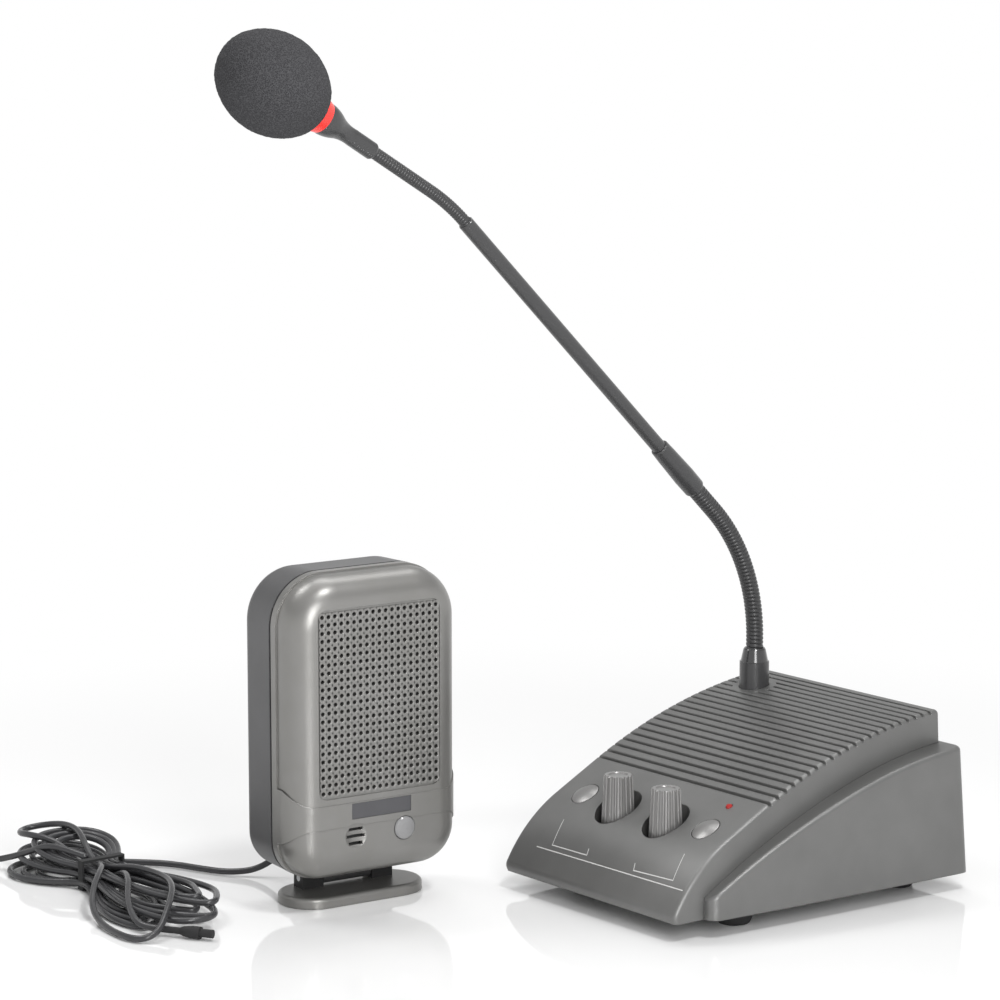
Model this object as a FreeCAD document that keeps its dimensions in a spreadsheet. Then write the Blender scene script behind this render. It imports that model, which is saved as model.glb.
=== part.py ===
import FreeCAD, Part
import math
import os
from types import SimpleNamespace

import Sketcher
from FreeCAD import Placement, Rotation, Vector

# Two-way intercom for a teller's window, in millimetres, +Z up.
# It is a set of two: a desk console with a gooseneck microphone on the clerk's side, and an outside
# unit with a grille and a call button on the customer's side, joined by a lead.
# The origin is on the desk, in the middle of the set's footprint. The console faces -Y.

doc = FreeCAD.newDocument("TellerIntercom")

# ---------------------------------------------------------------- driving dimensions
DIMENSIONS = [
    ("console_x", 22.93, "console centre across, from the set's centre"),
    ("console_y", 80.4, "console centre back, from the set's centre"),
    ("unit_x", -65.37, "outside unit's centre across"),
    ("unit_y", -65.4, "outside unit's centre back"),
    ("unit_turn", 85.0, "outside unit turned about the vertical, degrees"),
    ("foot_height", 8.0, "rubber foot under the console"),
    ("foot_radius", 8.5, "rubber foot"),
    ("foot_x", 49.5, "rubber feet either side of the centre line"),
    ("front_foot_y", -38.0, "front feet"),
    ("rear_foot_y", 64.0, "rear feet"),
    ("wall", 2.5, "console shell wall"),
    ("cover_half", 60.0, "half the width of the top cover"),
    ("cover_edge", 2.0, "rounding of the cover's side edges"),
    ("crown_front_y", -27.3, "front end of the ribbed crown"),
    ("crown_front_z", 53.8, "height of the crown's front end"),
    ("crown_rear_y", 77.1, "rear end of the crown"),
    ("crown_rear_z", 82.9, "height of the crown's rear end"),
    ("crown_radius", 270.0, "sweep of the crown"),
    ("panel_flat", 28.0, "flat part of the control panel, along its slope"),
    ("roll_radius", 72.0, "panel rolling down to the nose"),
    ("roll_end", 60.0, "slope at the end of the roll, degrees"),
    ("nose_radius", 4.0, "nose of the cover"),
    ("nose_tuck", 115.0, "how far round the nose turns under, degrees"),
    ("rear_corner", 2.4, "cover's rear top corner"),
    ("rear_lean", 1.6, "rear wall's lean from its top to the ledge"),
    ("groove_count", 22, "grooves across the crown"),
    ("groove_first_y", -26.1, "front-most groove"),
    ("groove_pitch", 4.74, "from groove to groove"),
    ("groove_width", 1.7, "groove"),
    ("groove_depth", 1.5, "groove, measured straight down"),
    ("knob_x", 16.6, "volume knobs either side of the centre line"),
    ("knob_y", -50.1, "volume knobs"),
    ("knob_foot_radius", 8.0, "knob at its foot"),
    ("knob_top_radius", 6.8, "knob at its top"),
    ("knob_top_z", 57.0, "top of the knobs"),
    ("knob_flutes", 18, "grip flutes round a knob"),
    ("flute_radius", 0.8, "grip flute"),
    ("well_radius", 10.8, "round well that a knob stands in"),
    ("well_floor_z", 30.0, "floor of the wells"),
    ("shaft_radius", 3.0, "volume control's shaft"),
    ("button_x", 42.0, "speaker buttons either side of the centre line"),
    ("button_y", -48.6, "speaker buttons"),
    ("button_radius", 6.1, "speaker button"),
    ("button_gap", 0.3, "gap round a moving button"),
    ("button_dome", 20.0, "dome on a speaker button"),
    ("button_proud", 1.1, "button's crown above the panel"),
    ("button_travel", 2.0, "press of a speaker button"),
    ("lamp_x", 40.8, "power lamp"),
    ("lamp_y", -33.5, "power lamp"),
    ("lamp_radius", 1.6, "power lamp"),
    ("tray_front_y", -65.3, "front end of the tray's cheeks"),
    ("tray_rear_y", 86.3, "rear of the tray, at its foot"),
    ("tray_front_half", 66.0, "half the tray's width at its front, at its foot"),
    ("tray_rear_half", 76.0, "half the tray's width at its rear, at its foot"),
    ("cheek_radius", 3600.0, "cheek's sweep, seen from above"),
    ("side_draft", 2.0, "cheek's draft, degrees"),
    ("rear_draft", 3.3, "rear wall's draft, degrees"),
    ("tray_corner", 6.0, "rear corners of the tray"),
    ("cheek_corner", 5.5, "rounded front corners of the tray"),
    ("ledge_front_z", 17.6, "ledge height at the front"),
    ("ledge_mid_y", 24.9, "where the ledge's curve tightens"),
    ("ledge_mid_z", 57.2, "ledge height there"),
    ("ledge_rear_z", 67.9, "ledge height at the rear"),
    ("ledge_long", 400.0, "radius of the ledge's front curve"),
    ("ledge_crown", 255.0, "radius of the ledge's rear curve"),
    ("ledge_edge", 2.0, "rounding of the ledge's outer edge"),
    ("board_z", 14.0, "underside of the main board"),
    ("board_thick", 1.6, "circuit boards"),
    ("neck_x", -41.2, "microphone neck"),
    ("neck_y", 56.0, "microphone neck"),
    ("collar_radius", 7.1, "neck's collar"),
    ("collar_seat_z", 79.3, "flat seat of the collar in the cover"),
    ("collar_shoulder_z", 92.5, "where the collar starts to taper"),
    ("collar_top_z", 99.0, "top of the collar"),
    ("stem_radius", 4.8, "threaded stem under the collar"),
    ("nut_across", 14.0, "neck nut across its flats"),
    ("nut_height", 4.0, "neck nut"),
    ("flex_radius", 4.05, "lower gooseneck"),
    ("flex_rise", 5.0, "straight start of the lower gooseneck"),
    ("flex_sweep", 89.5, "bend radius of the lower gooseneck"),
    ("neck_lean", 45.9, "lean of the neck's tube from upright, degrees"),
    ("flex_tail", 16.8, "straight end of the lower gooseneck"),
    ("socket_depth", 8.0, "how far a flex or tube goes into its socket"),
    ("sleeve_length", 31.0, "joint sleeve"),
    ("sleeve_low_radius", 5.0, "joint sleeve, lower end"),
    ("sleeve_top_radius", 4.4, "joint sleeve, upper end"),
    ("tube_radius", 3.5, "rigid tube"),
    ("tube_length", 158.4, "rigid tube between sleeve and upper gooseneck"),
    ("fine_flex_radius", 2.8, "upper gooseneck"),
    ("fine_sweep", 102.0, "bend radius of the upper gooseneck"),
    ("head_lean", 59.5, "lean of the microphone head from upright, degrees"),
    ("fine_tail", 36.0, "straight end of the upper gooseneck"),
    ("head_sleeve_radius", 3.9, "rear sleeve of the head"),
    ("head_sleeve_length", 13.0, "rear sleeve of the head"),
    ("flare_length", 17.7, "flare of the head"),
    ("flare_radius", 7.3, "mouth of the flare"),
    ("ring_length", 4.6, "light ring"),
    ("ring_front_radius", 8.7, "light ring's front edge"),
    ("capsule_radius", 5.0, "microphone capsule"),
    ("foam_radius", 22.0, "foam windscreen"),
    ("foam_half_length", 27.0, "half the length of the foam's full oval"),
    ("foam_nose_radius", 19.0, "rounding of the foam's ends"),
    ("foam_mouth_radius", 8.8, "foam's mouth"),
    ("fit", 0.05, "radial clearance of a fit"),
    ("seam", 0.3, "clearance between bodies that move"),
    ("unit_half", 45.0, "half the width of the outside unit"),
    ("unit_foot_z", 14.2, "underside of the outside unit's housing"),
    ("unit_top_z", 154.6, "top of the outside unit"),
    ("unit_corner", 24.0, "upper corners of the outside unit"),
    ("unit_low_corner", 19.0, "lower corners of the outside unit"),
    ("unit_front_y", -21.0, "grille's face"),
    ("pillow_back_y", -4.6, "rear edge of the pillows, where the rim starts"),
    ("rim_back_y", -0.6, "rear edge of the front shell"),
    ("rear_shell_y", 1.0, "front edge of the rear shell"),
    ("unit_back_y", 26.3, "back of the outside unit"),
    ("shoulder_radius", 13.5, "shoulder of the front shell"),
    ("back_round", 6.0, "rounding at the back"),
    ("back_draft", 2.0, "draft of the rear shell, degrees"),
    ("belt_proud", 0.8, "belt and rim above the pillows"),
    ("belt_low_z", 40.0, "belt's lower edge"),
    ("belt_top_z", 50.8, "belt's upper edge"),
    ("pillow_corner", 12.0, "pillow corners at the belt"),
    ("unit_wall", 2.2, "outside unit's walls"),
    ("field_half", 32.0, "half the width of the grille's field"),
    ("field_low_z", 53.6, "lower edge of the grille's field"),
    ("field_top_z", 140.0, "upper edge of the grille's field"),
    ("field_corner", 4.5, "corners of the grille's field"),
    ("field_sunk", 0.7, "depth of the grille's field"),
    ("hole_columns", 19, "grille holes across"),
    ("hole_rows", 23, "grille holes up"),
    ("hole_pitch_x", 3.32, "between columns"),
    ("hole_pitch_z", 3.66, "between rows"),
    ("hole_across", 2.7, "grille hole, from corner to corner"),
    ("call_x", 12.7, "call button"),
    ("call_z", 35.5, "call button"),
    ("call_radius", 5.3, "call button"),
    ("call_travel", 1.5, "press of the call button"),
    ("slot_x", -13.1, "sound slots of the outside microphone"),
    ("slot_z", 35.0, "sound slots"),
    ("slot_dish", 5.5, "round dish of the sound slots"),
    ("slot_height", 1.4, "sound slot"),
    ("slot_pitch", 3.3, "between sound slots"),
    ("plate_x", 0.4, "name plate"),
    ("plate_z", 46.7, "name plate"),
    ("plate_width", 31.2, "name plate"),
    ("plate_height", 7.2, "name plate"),
    ("plate_thick", 0.8, "name plate"),
    ("driver_radius", 33.0, "outside loudspeaker"),
    ("driver_z", 99.0, "outside loudspeaker"),
    ("monitor_radius", 28.5, "console loudspeaker"),
    ("monitor_x", 14.0, "console loudspeaker"),
    ("monitor_y", 20.0, "console loudspeaker"),
    ("stand_length", 72.0, "stand's foot plate"),
    ("stand_width", 32.0, "stand's foot plate"),
    ("stand_thick", 5.0, "stand's foot plate"),
    ("stand_y", 6.6, "stand's foot plate"),
    ("hinge_y", 12.8, "tilt axis of the outside unit"),
    ("hinge_z", 9.7, "tilt axis of the outside unit"),
    ("knuckle_radius", 4.1, "hinge knuckles"),
    ("hinge_half", 24.0, "half the hinge's length"),
    ("tongue_half", 12.7, "half the housing's knuckle"),
    ("pin_radius", 1.5, "hinge pin"),
    ("lead_radius", 1.5, "lead"),
    ("lead_exit_x", -4.0, "lead's gland in the rear shell"),
    ("lead_exit_z", 27.0, "lead's gland in the rear shell"),
    ("gland_length", 7.0, "lead's gland outside the shell"),
]

sheet = doc.addObject("Spreadsheet::Sheet", "Size")
sheet.set("A1", "meaning")
sheet.set("B1", "value")
for row, (alias, value, meaning) in enumerate(DIMENSIONS, start=2):
    sheet.set("A%d" % row, meaning)
    sheet.set("B%d" % row, str(value))
    sheet.setAlias("B%d" % row, alias)
doc.recompute()


class Size:
    """A number together with the sheet formula that it comes from."""

    def __init__(self, value, text):
        self.value = float(value)
        self.text = text

    def join(self, other, sign, value, swapped=False):
        text = other.text if isinstance(other, Size) else repr(float(other))
        pair = (text, self.text) if swapped else (self.text, text)
        return Size(value, "(%s %s %s)" % (pair[0], sign, pair[1]))

    def __float__(self):
        return self.value

    def __add__(self, other):
        return self.join(other, "+", self.value + float(other))

    def __radd__(self, other):
        return self.join(other, "+", float(other) + self.value, True)

    def __sub__(self, other):
        return self.join(other, "-", self.value - float(other))

    def __rsub__(self, other):
        return self.join(other, "-", float(other) - self.value, True)

    def __mul__(self, other):
        return self.join(other, "*", self.value * float(other))

    def __rmul__(self, other):
        return self.join(other, "*", float(other) * self.value, True)

    def __truediv__(self, other):
        return self.join(other, "/", self.value / float(other))

    def __neg__(self):
        return 0.0 - self


# s holds sizes that carry their formula, for sketches and features; v holds plain numbers.
s = SimpleNamespace(**{name: Size(getattr(sheet, name), "Size." + name) for name, _, _ in DIMENSIONS})
v = SimpleNamespace(**{name: float(getattr(sheet, name)) for name, _, _ in DIMENSIONS})

CONSOLE = Placement(Vector(v.console_x, v.console_y, 0), Rotation())
UNIT = Placement(Vector(v.unit_x, v.unit_y, 0), Rotation(Vector(0, 0, 1), v.unit_turn))
FAR = 300.0
pieces = []


# ---------------------------------------------------------------- helpers
def text_of(size):
    return size.text if isinstance(size, Size) else repr(float(size))


def drive(thing, path, size):
    """Binds a property or a constraint to its formula."""
    thing.setExpression(path, text_of(size))


def keep(obj, label, group=CONSOLE, at=Placement()):
    """Names a finished sub-part and puts it in its place."""
    obj.Label = label
    obj.Placement = group.multiply(at)
    pieces.append(obj)
    return obj


def feature(label, shape, group=CONSOLE, at=Placement()):
    """A sub-part whose shape is worked out from the sheet's values."""
    obj = doc.addObject("Part::Feature", label)
    obj.Shape = shape
    return keep(obj, label, group, at)


def body(label, group=CONSOLE, at=Placement()):
    return keep(doc.addObject("PartDesign::Body", label), label, group, at)


def at(x=0, y=0, z=0, axis=Vector(0, 0, 1), angle=0):
    return Placement(Vector(float(x), float(y), float(z)), Rotation(axis, float(angle)))


def plane(owner, role):
    return next(item for item in owner.Origin.OriginFeatures if item.Role == role)


def sketch(owner, role="XY_Plane", height=0):
    made = owner.newObject("Sketcher::SketchObject", owner.Label + "_sketch")
    made.AttachmentSupport = [(plane(owner, role), "")]
    made.MapMode = "FlatFace"
    if isinstance(height, Size) or height:
        drive(made, "AttachmentOffset.Base.z", height)
    return made


def fix_point(made, index, point, x, y):
    """Ties a point of the sketch to the origin by its two distances."""
    for kind, size in (("DistanceX", x), ("DistanceY", y)):
        number = made.addConstraint(Sketcher.Constraint(kind, -1, 1, index, point, float(size)))
        if isinstance(size, Size):
            drive(made, "Constraints[%d]" % number, size)


def circle(made, radius, x=0, y=0):
    index = made.addGeometry(Part.Circle(Vector(float(x), float(y), 0), Vector(0, 0, 1), float(radius)))
    number = made.addConstraint(Sketcher.Constraint("Radius", index, float(radius)))
    drive(made, "Constraints[%d]" % number, radius)
    fix_point(made, index, 3, x, y)


def polygon(made, points):
    """A closed outline of straight runs; every corner follows its two sizes."""
    first = made.GeometryCount
    ends = points[1:] + points[:1]
    for (x0, y0), (x1, y1) in zip(points, ends):
        start = Vector(float(x0), float(y0), 0)
        made.addGeometry(Part.LineSegment(start, Vector(float(x1), float(y1), 0)))
    count = len(points)
    for number in range(count):
        following = first + (number + 1) % count
        made.addConstraint(Sketcher.Constraint("Coincident", first + number, 2, following, 1))
    for number, (x, y) in enumerate(points):
        fix_point(made, first + number, 1, x, y)


def rectangle(made, width, depth, x=0, y=0):
    left = x - width / 2
    low = y - depth / 2
    polygon(made, [(left, low), (left + width, low), (left + width, low + depth), (left, low + depth)])


def pad(owner, made, length, both_ways=False):
    grown = owner.newObject("PartDesign::Pad", owner.Label + "_pad")
    grown.Profile = made
    grown.Midplane = both_ways
    drive(grown, "Length", length)
    return grown


def pocket(owner, made, length, backwards=False):
    cut = owner.newObject("PartDesign::Pocket", owner.Label + "_pocket")
    cut.Profile = made
    cut.Reversed = backwards
    drive(cut, "Length", length)
    return cut


def turned(label, points, group=CONSOLE, at=Placement()):
    """A piece turned about its own Z axis from an outline of (radius, height) corners."""
    made_body = body(label, group, at)
    outline = sketch(made_body, "XZ_Plane")
    polygon(outline, points)
    spun = made_body.newObject("PartDesign::Revolution", label + "_turning")
    spun.Profile = outline
    spun.ReferenceAxis = (outline, ["V_Axis"])
    spun.Angle = 360
    return made_body


def bulge(start, end, radius, side):
    """Middle of the arc of this radius from start to end; side is the way it bulges."""
    chord = end - start
    half = chord.Length / 2
    across = side - chord * (side.dot(chord) / chord.Length**2)
    across.normalize()
    return (start + end) * 0.5 + across * (radius - math.sqrt(radius**2 - half**2))


def arc(start, end, radius, side):
    return Part.Arc(start, bulge(start, end, radius, side), end).toShape()


def line(start, end):
    return Part.LineSegment(start, end).toShape()


def box(low, high):
    return Part.makeBox(high[0] - low[0], high[1] - low[1], high[2] - low[2], Vector(*low))


def cylinder(radius, x, y, low, high):
    return Part.makeCylinder(radius, high - low, Vector(x, y, low))


def rounded_outline(half, low, top, corners, y=0):
    """Closed outline in an upright plane; corners are the radii at lower left, lower right,
    upper right and upper left."""
    spots = [(-half, low), (half, low), (half, top), (-half, top)]
    inward = [(1, 1), (-1, 1), (-1, -1), (1, -1)]
    arcs = []
    for number, ((x, z), (dx, dz), radius) in enumerate(zip(spots, inward, corners)):
        centre = Vector(x + dx * radius, y, z + dz * radius)
        on_side = Vector(x, y, centre.z)
        on_level = Vector(centre.x, y, z)
        middle = centre + Vector(-dx, 0, -dz) * (radius / math.sqrt(2))
        pair = (on_side, on_level) if number % 2 == 0 else (on_level, on_side)
        arcs.append((pair[0], middle, pair[1]))
    edges = []
    for number, (start, middle, end) in enumerate(arcs):
        edges.append(Part.Arc(start, middle, end).toShape())
        edges.append(line(end, arcs[(number + 1) % 4][0]))
    return Part.Wire(edges)


def upright_slab(outline, depth):
    """Pushes an upright outline back by a depth."""
    return Part.Face(outline).extrude(Vector(0, depth, 0))


def spun_solid(edges):
    """Turns a closed outline in the XZ plane about Z."""
    return Part.Face(Part.Wire(edges)).revolve(Vector(0, 0, 0), Vector(0, 0, 1), 360)


# ---------------------------------------------------------------- console: top cover
crown_front = Vector(0, v.crown_front_y, v.crown_front_z)
crown_rear = Vector(0, v.crown_rear_y, v.crown_rear_z)
crown_chord = crown_rear - crown_front
crown_half_angle = math.asin(crown_chord.Length / 2 / v.crown_radius)
panel_slope = math.atan2(crown_chord.z, crown_chord.y) + crown_half_angle
crown_centre_y = v.crown_front_y + v.crown_radius * math.sin(panel_slope)
crown_centre_z = v.crown_front_z - v.crown_radius * math.cos(panel_slope)


def crown_z(y):
    """Height of the crown at y."""
    return crown_centre_z + math.sqrt(v.crown_radius**2 - (y - crown_centre_y) ** 2)


def panel_z(y):
    """Height of the flat part of the control panel at y."""
    return v.crown_front_z - (v.crown_front_y - y) * math.tan(panel_slope)


def on_turn(centre, radius, angle):
    """Point of a turning slope: angle is the slope that the surface has there."""
    return centre - Vector(0, math.sin(angle), -math.cos(angle)) * radius


def cover_side_view():
    """The cover's outline seen from the side, from the crown round the back to the panel."""
    roll_end = math.radians(v.roll_end)
    tuck = math.radians(v.nose_tuck)
    flat_end = crown_front - Vector(0, math.cos(panel_slope), math.sin(panel_slope)) * v.panel_flat
    roll_centre = flat_end + Vector(0, math.sin(panel_slope), -math.cos(panel_slope)) * v.roll_radius
    roll_low = on_turn(roll_centre, v.roll_radius, roll_end)
    nose_centre = roll_low + Vector(0, math.sin(roll_end), -math.cos(roll_end)) * v.nose_radius
    nose_low = on_turn(nose_centre, v.nose_radius, tuck)
    lip = (nose_low.z - v.foot_height) / math.tan(math.pi - tuck)
    nose_foot = Vector(0, nose_low.y + lip, v.foot_height)
    rear_top = crown_rear + Vector(0, v.rear_corner, -v.rear_corner)
    rear_low = rear_top + Vector(0, v.rear_lean, -crown_chord.z)
    rear_foot = Vector(0, rear_low.y, v.foot_height)
    roll_middle = on_turn(roll_centre, v.roll_radius, (panel_slope + roll_end) / 2)
    nose_middle = on_turn(nose_centre, v.nose_radius, (roll_end + tuck) / 2)
    return [
        arc(crown_front, crown_rear, v.crown_radius, Vector(0, 0, 1)),
        arc(crown_rear, rear_top, v.rear_corner, Vector(0, 1, 1)),
        line(rear_top, rear_low),
        line(rear_low, rear_foot),
        line(rear_foot, nose_foot),
        line(nose_foot, nose_low),
        Part.Arc(nose_low, nose_middle, roll_low).toShape(),
        Part.Arc(roll_low, roll_middle, flat_end).toShape(),
        line(flat_end, crown_front),
    ]


def across(face, half):
    """Pushes a side view through the console's width."""
    moved = face.copy()
    moved.translate(Vector(-half, 0, 0))
    return moved.extrude(Vector(2 * half, 0, 0))


def ledge_line(lift=0.0):
    """The ledge's crowned curve seen from the side, raised by lift."""
    front = Vector(0, v.tray_front_y, v.ledge_front_z + lift)
    middle = Vector(0, v.ledge_mid_y, v.ledge_mid_z + lift)
    rear = Vector(0, v.tray_rear_y + v.wall, v.ledge_rear_z + lift)
    sweep = arc(front, middle, v.ledge_long, Vector(0, 0, 1))
    crown = arc(middle, rear, v.ledge_crown, Vector(0, 0, 1))
    return front, rear, sweep, crown


def under_ledge(lift=0.0):
    """Everything below the ledge's curve, behind the front end of the cheeks."""
    front, rear, sweep, crown = ledge_line(lift)
    low_rear = Vector(0, rear.y, -FAR)
    low_front = Vector(0, front.y, -FAR)
    edges = [sweep, crown, line(rear, low_rear), line(low_rear, low_front), line(low_front, front)]
    return across(Part.Face(Part.Wire(edges)), FAR)


def screw_spots():
    """Housing screws: left and right, front and rear."""
    spots = []
    for x in (-1, 1):
        spots.append((x * (v.cover_half - 3 * v.wall), v.front_foot_y - 2 * v.foot_radius))
        spots.append((x * (v.cover_half - 3 * v.wall), v.rear_foot_y))
    return spots


BOSS_RADIUS = 3.2
PILOT_RADIUS = 1.3
SCREW_RADIUS = 1.25
COLLAR_BOSS_RADIUS = 10.0
COLLAR_BOSS_Z = 73.0
PAD_RADIUS = 10.5
SOUND_SLOT_WIDTH = 1.1
SHAFT_HOLE = v.shaft_radius + 0.8
GUIDE_Z = 36.0


def top_cover():
    side = Part.Wire(cover_side_view())
    outer = across(Part.Face(side), v.cover_half)
    rounded = []
    for edge in outer.Edges:
        ends = [vertex.Point for vertex in edge.Vertexes]
        on_side = all(abs(abs(p.x) - v.cover_half) < 0.01 for p in ends)
        above = min(p.z for p in ends) > v.foot_height + 0.01
        middle = edge.valueAt((edge.FirstParameter + edge.LastParameter) / 2)
        if on_side and above and abs(abs(middle.x) - v.cover_half) < 0.01 and middle.y < v.crown_rear_y:
            rounded.append(edge)
    outer = outer.makeFillet(v.cover_edge, rounded)
    inside = side.makeOffset2D(-v.wall)
    hollow = across(Part.Face(inside), v.cover_half - v.wall)
    nose_y = inside.BoundBox.YMin
    hollow = hollow.fuse(box(
        (v.wall - v.cover_half, nose_y, -1),
        (v.cover_half - v.wall, inside.BoundBox.YMax, v.foot_height + v.wall + 1),
    ))
    # bosses, wells and button guides are kept inside the outer form
    top = FAR
    fillings = []
    for x, y in screw_spots():
        fillings.append(cylinder(BOSS_RADIUS, x, y, v.foot_height + v.wall + 0.3, top))
    for side_sign in (-1, 1):
        well_wall = v.well_radius + v.wall * 0.7
        low = v.well_floor_z - v.wall * 0.7
        fillings.append(cylinder(well_wall, side_sign * v.knob_x, v.knob_y, low, top))
        guide = v.button_radius + v.button_gap + v.wall * 0.6
        fillings.append(cylinder(guide, side_sign * v.button_x, v.button_y, GUIDE_Z, top))
    fillings.append(cylinder(COLLAR_BOSS_RADIUS, v.neck_x, v.neck_y, COLLAR_BOSS_Z, top))
    filling = Part.Compound(fillings).common(outer)
    cover = outer.cut(hollow).fuse(filling.Solids)
    cover = cover.cut(under_ledge())
    # openings
    tools = []
    for x, y in screw_spots():
        tools.append(cylinder(PILOT_RADIUS, x, y, -1, v.foot_height + v.wall + 14))
    for side_sign in (-1, 1):
        tools.append(cylinder(v.well_radius, side_sign * v.knob_x, v.knob_y, v.well_floor_z, top))
        tools.append(cylinder(SHAFT_HOLE, side_sign * v.knob_x, v.knob_y, 0, top))
        hole = v.button_radius + v.button_gap
        tools.append(cylinder(hole, side_sign * v.button_x, v.button_y, 0, top))
    tools.append(cylinder(v.lamp_radius + v.fit, v.lamp_x, v.lamp_y, 0, top))
    tools.append(cylinder(v.collar_radius + v.fit * 4, v.neck_x, v.neck_y, v.collar_seat_z, top))
    tools.append(cylinder(v.stem_radius + v.fit * 4, v.neck_x, v.neck_y, 0, top))
    pad_round_collar = cylinder(PAD_RADIUS, v.neck_x, v.neck_y, 0, top)
    for number in range(int(v.groove_count)):
        y = v.groove_first_y + number * v.groove_pitch
        low = crown_z(y) - v.groove_depth
        groove = box(
            (-FAR, y - v.groove_width / 2, low),
            (FAR, y + v.groove_width / 2, top),
        )
        tools.append(groove.cut(pad_round_collar))
        reach = (v.monitor_radius * 0.86) ** 2 - (y - v.monitor_y) ** 2
        if reach > v.monitor_radius:
            half = math.sqrt(reach)
            tools.append(box(
                (v.monitor_x - half, y - SOUND_SLOT_WIDTH / 2, low - 2 * v.wall),
                (v.monitor_x + half, y + SOUND_SLOT_WIDTH / 2, low + 0.5),
            ))
    return cover.cut(tools)


feature("top_cover", top_cover())


# ---------------------------------------------------------------- console: base tray
def tray_plan(z, inset=0.0):
    """The tray's outline at height z, drawn in by inset."""
    rise = z - v.foot_height
    pull = rise * math.tan(math.radians(v.side_draft)) + inset
    front = v.tray_front_half - pull
    rear = v.tray_rear_half - pull
    back = v.tray_rear_y - rise * math.tan(math.radians(v.rear_draft)) - inset
    nose = v.tray_front_y + inset
    points = [Vector(-front, nose, z), Vector(-rear, back, z), Vector(rear, back, z), Vector(front, nose, z)]
    return Part.Wire([
        arc(points[0], points[1], v.cheek_radius, Vector(-1, 0, 0)),
        line(points[1], points[2]),
        arc(points[2], points[3], v.cheek_radius, Vector(1, 0, 0)),
        line(points[3], points[0]),
    ])


def tray_block(low, inset):
    high = v.ledge_rear_z + 3 * v.wall
    block = Part.makeLoft([tray_plan(low, inset), tray_plan(high, inset)], True, True)
    for radius, sign in ((v.tray_corner, 1), (v.cheek_corner, -1)):
        corners = []
        for edge in block.Edges:
            ends = [vertex.Point for vertex in edge.Vertexes]
            if len(ends) == 2 and abs(ends[0].z - ends[1].z) > 1 and min(p.y * sign for p in ends) > 0:
                corners.append(edge)
        block = block.makeFillet(radius - inset, corners)
    return block


SOCKET_X = {"power_socket": -30.0, "line_socket": -8.0}
SOCKET_RADIUS = {"power_socket": 4.2, "line_socket": 4.6}
SOCKET_Z = 22.0


def rear_wall_y(z):
    return v.tray_rear_y - (z - v.foot_height) * math.tan(math.radians(v.rear_draft))


def base_tray():
    floor_top = v.foot_height + v.wall
    outer = tray_block(v.foot_height, 0.0).common(under_ledge())
    rounded = []
    for edge in outer.Edges:
        low = edge.BoundBox.ZMin
        wide = max(abs(edge.BoundBox.XMin), abs(edge.BoundBox.XMax))
        if low > v.ledge_front_z - 1 and edge.Length > 1 and wide > v.cover_half - 1:
            if edge.BoundBox.YMax > v.tray_front_y + 1:
                rounded.append(edge)
    outer = outer.makeFillet(v.ledge_edge, rounded)
    cavity = tray_block(floor_top, v.wall).common(under_ledge(-v.wall))
    cover_rear = v.crown_rear_y + v.rear_corner + v.rear_lean
    opening = box(
        (v.wall - v.cover_half, v.tray_front_y - 1, floor_top),
        (v.cover_half - v.wall, cover_rear - v.wall, FAR),
    )
    nose_inside = v.tray_front_y - 13.0
    front_plate = box(
        (v.wall - v.cover_half + 0.1, nose_inside, v.foot_height),
        (v.cover_half - v.wall - 0.1, v.tray_front_y + 1, floor_top),
    )
    tray = outer.cut(cavity).cut(opening).fuse(front_plate)
    posts = []
    tools = []
    for x, y in screw_spots():
        head_seat = cylinder(SCREW_RADIUS * 2.2, x, y, 0, v.foot_height + 1.2)
        tools.append(head_seat.fuse(cylinder(SCREW_RADIUS + 0.2, x, y, 0, floor_top + 1)))
    for x, y in board_spots():
        posts.append(cylinder(2.6, x, y, floor_top - 0.5, v.board_z))
    for name, x in SOCKET_X.items():
        hole = Part.makeCylinder(SOCKET_RADIUS[name] + 0.1, 12, Vector(x, v.tray_rear_y - 10, SOCKET_Z),
                                 Vector(0, 1, 0))
        tools.append(hole)
    tray = tray.fuse(posts).removeSplitter()
    for tool in tools:
        tray = tray.cut(tool)
    return tray


BOARD_HALF = 46.0
BOARD_FRONT = -60.0
BOARD_REAR = 58.0


def board_spots():
    inset = 5.0
    spots = []
    for x in (-1, 1):
        for y in (BOARD_FRONT + inset, BOARD_REAR - inset):
            spots.append((x * (BOARD_HALF - inset), y))
    return spots


feature("base_tray", base_tray())


# ---------------------------------------------------------------- console: feet and screws
def foot_spots():
    spots = []
    for y in (v.front_foot_y, v.rear_foot_y):
        spots += [(x * v.foot_x, y) for x in (-1, 1)]
    return spots


def rubber_foot():
    small = v.foot_radius * 0.82
    dish = [
        line(Vector(0, 0, 0), Vector(small, 0, 0)),
        arc(Vector(small, 0, 0), Vector(v.foot_radius, 0, v.foot_height * 0.6), v.foot_height, Vector(1, 0, -1)),
        line(Vector(v.foot_radius, 0, v.foot_height * 0.6), Vector(v.foot_radius, 0, v.foot_height)),
        line(Vector(v.foot_radius, 0, v.foot_height), Vector(0, 0, v.foot_height)),
        line(Vector(0, 0, v.foot_height), Vector(0, 0, 0)),
    ]
    return spun_solid(dish)


def copies(shape, spots, z=0.0):
    """The same piece at several places, as separate solids."""
    placed = []
    for x, y in spots:
        one = shape.copy()
        one.translate(Vector(x, y, z))
        placed.append(one)
    return Part.Compound(placed)


feature("rubber_feet", copies(rubber_foot(), foot_spots()))


def pan_head_screw(length, head_radius, radius):
    """Screw standing on its head, pointing up."""
    head = Part.makeCylinder(head_radius, 1.2)
    slot = box((-head_radius, -0.3, -0.1), (head_radius, 0.3, 0.5))
    shank = cylinder(radius, 0, 0, 1.2, length)
    return head.cut(slot).fuse(shank).removeSplitter()


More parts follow.
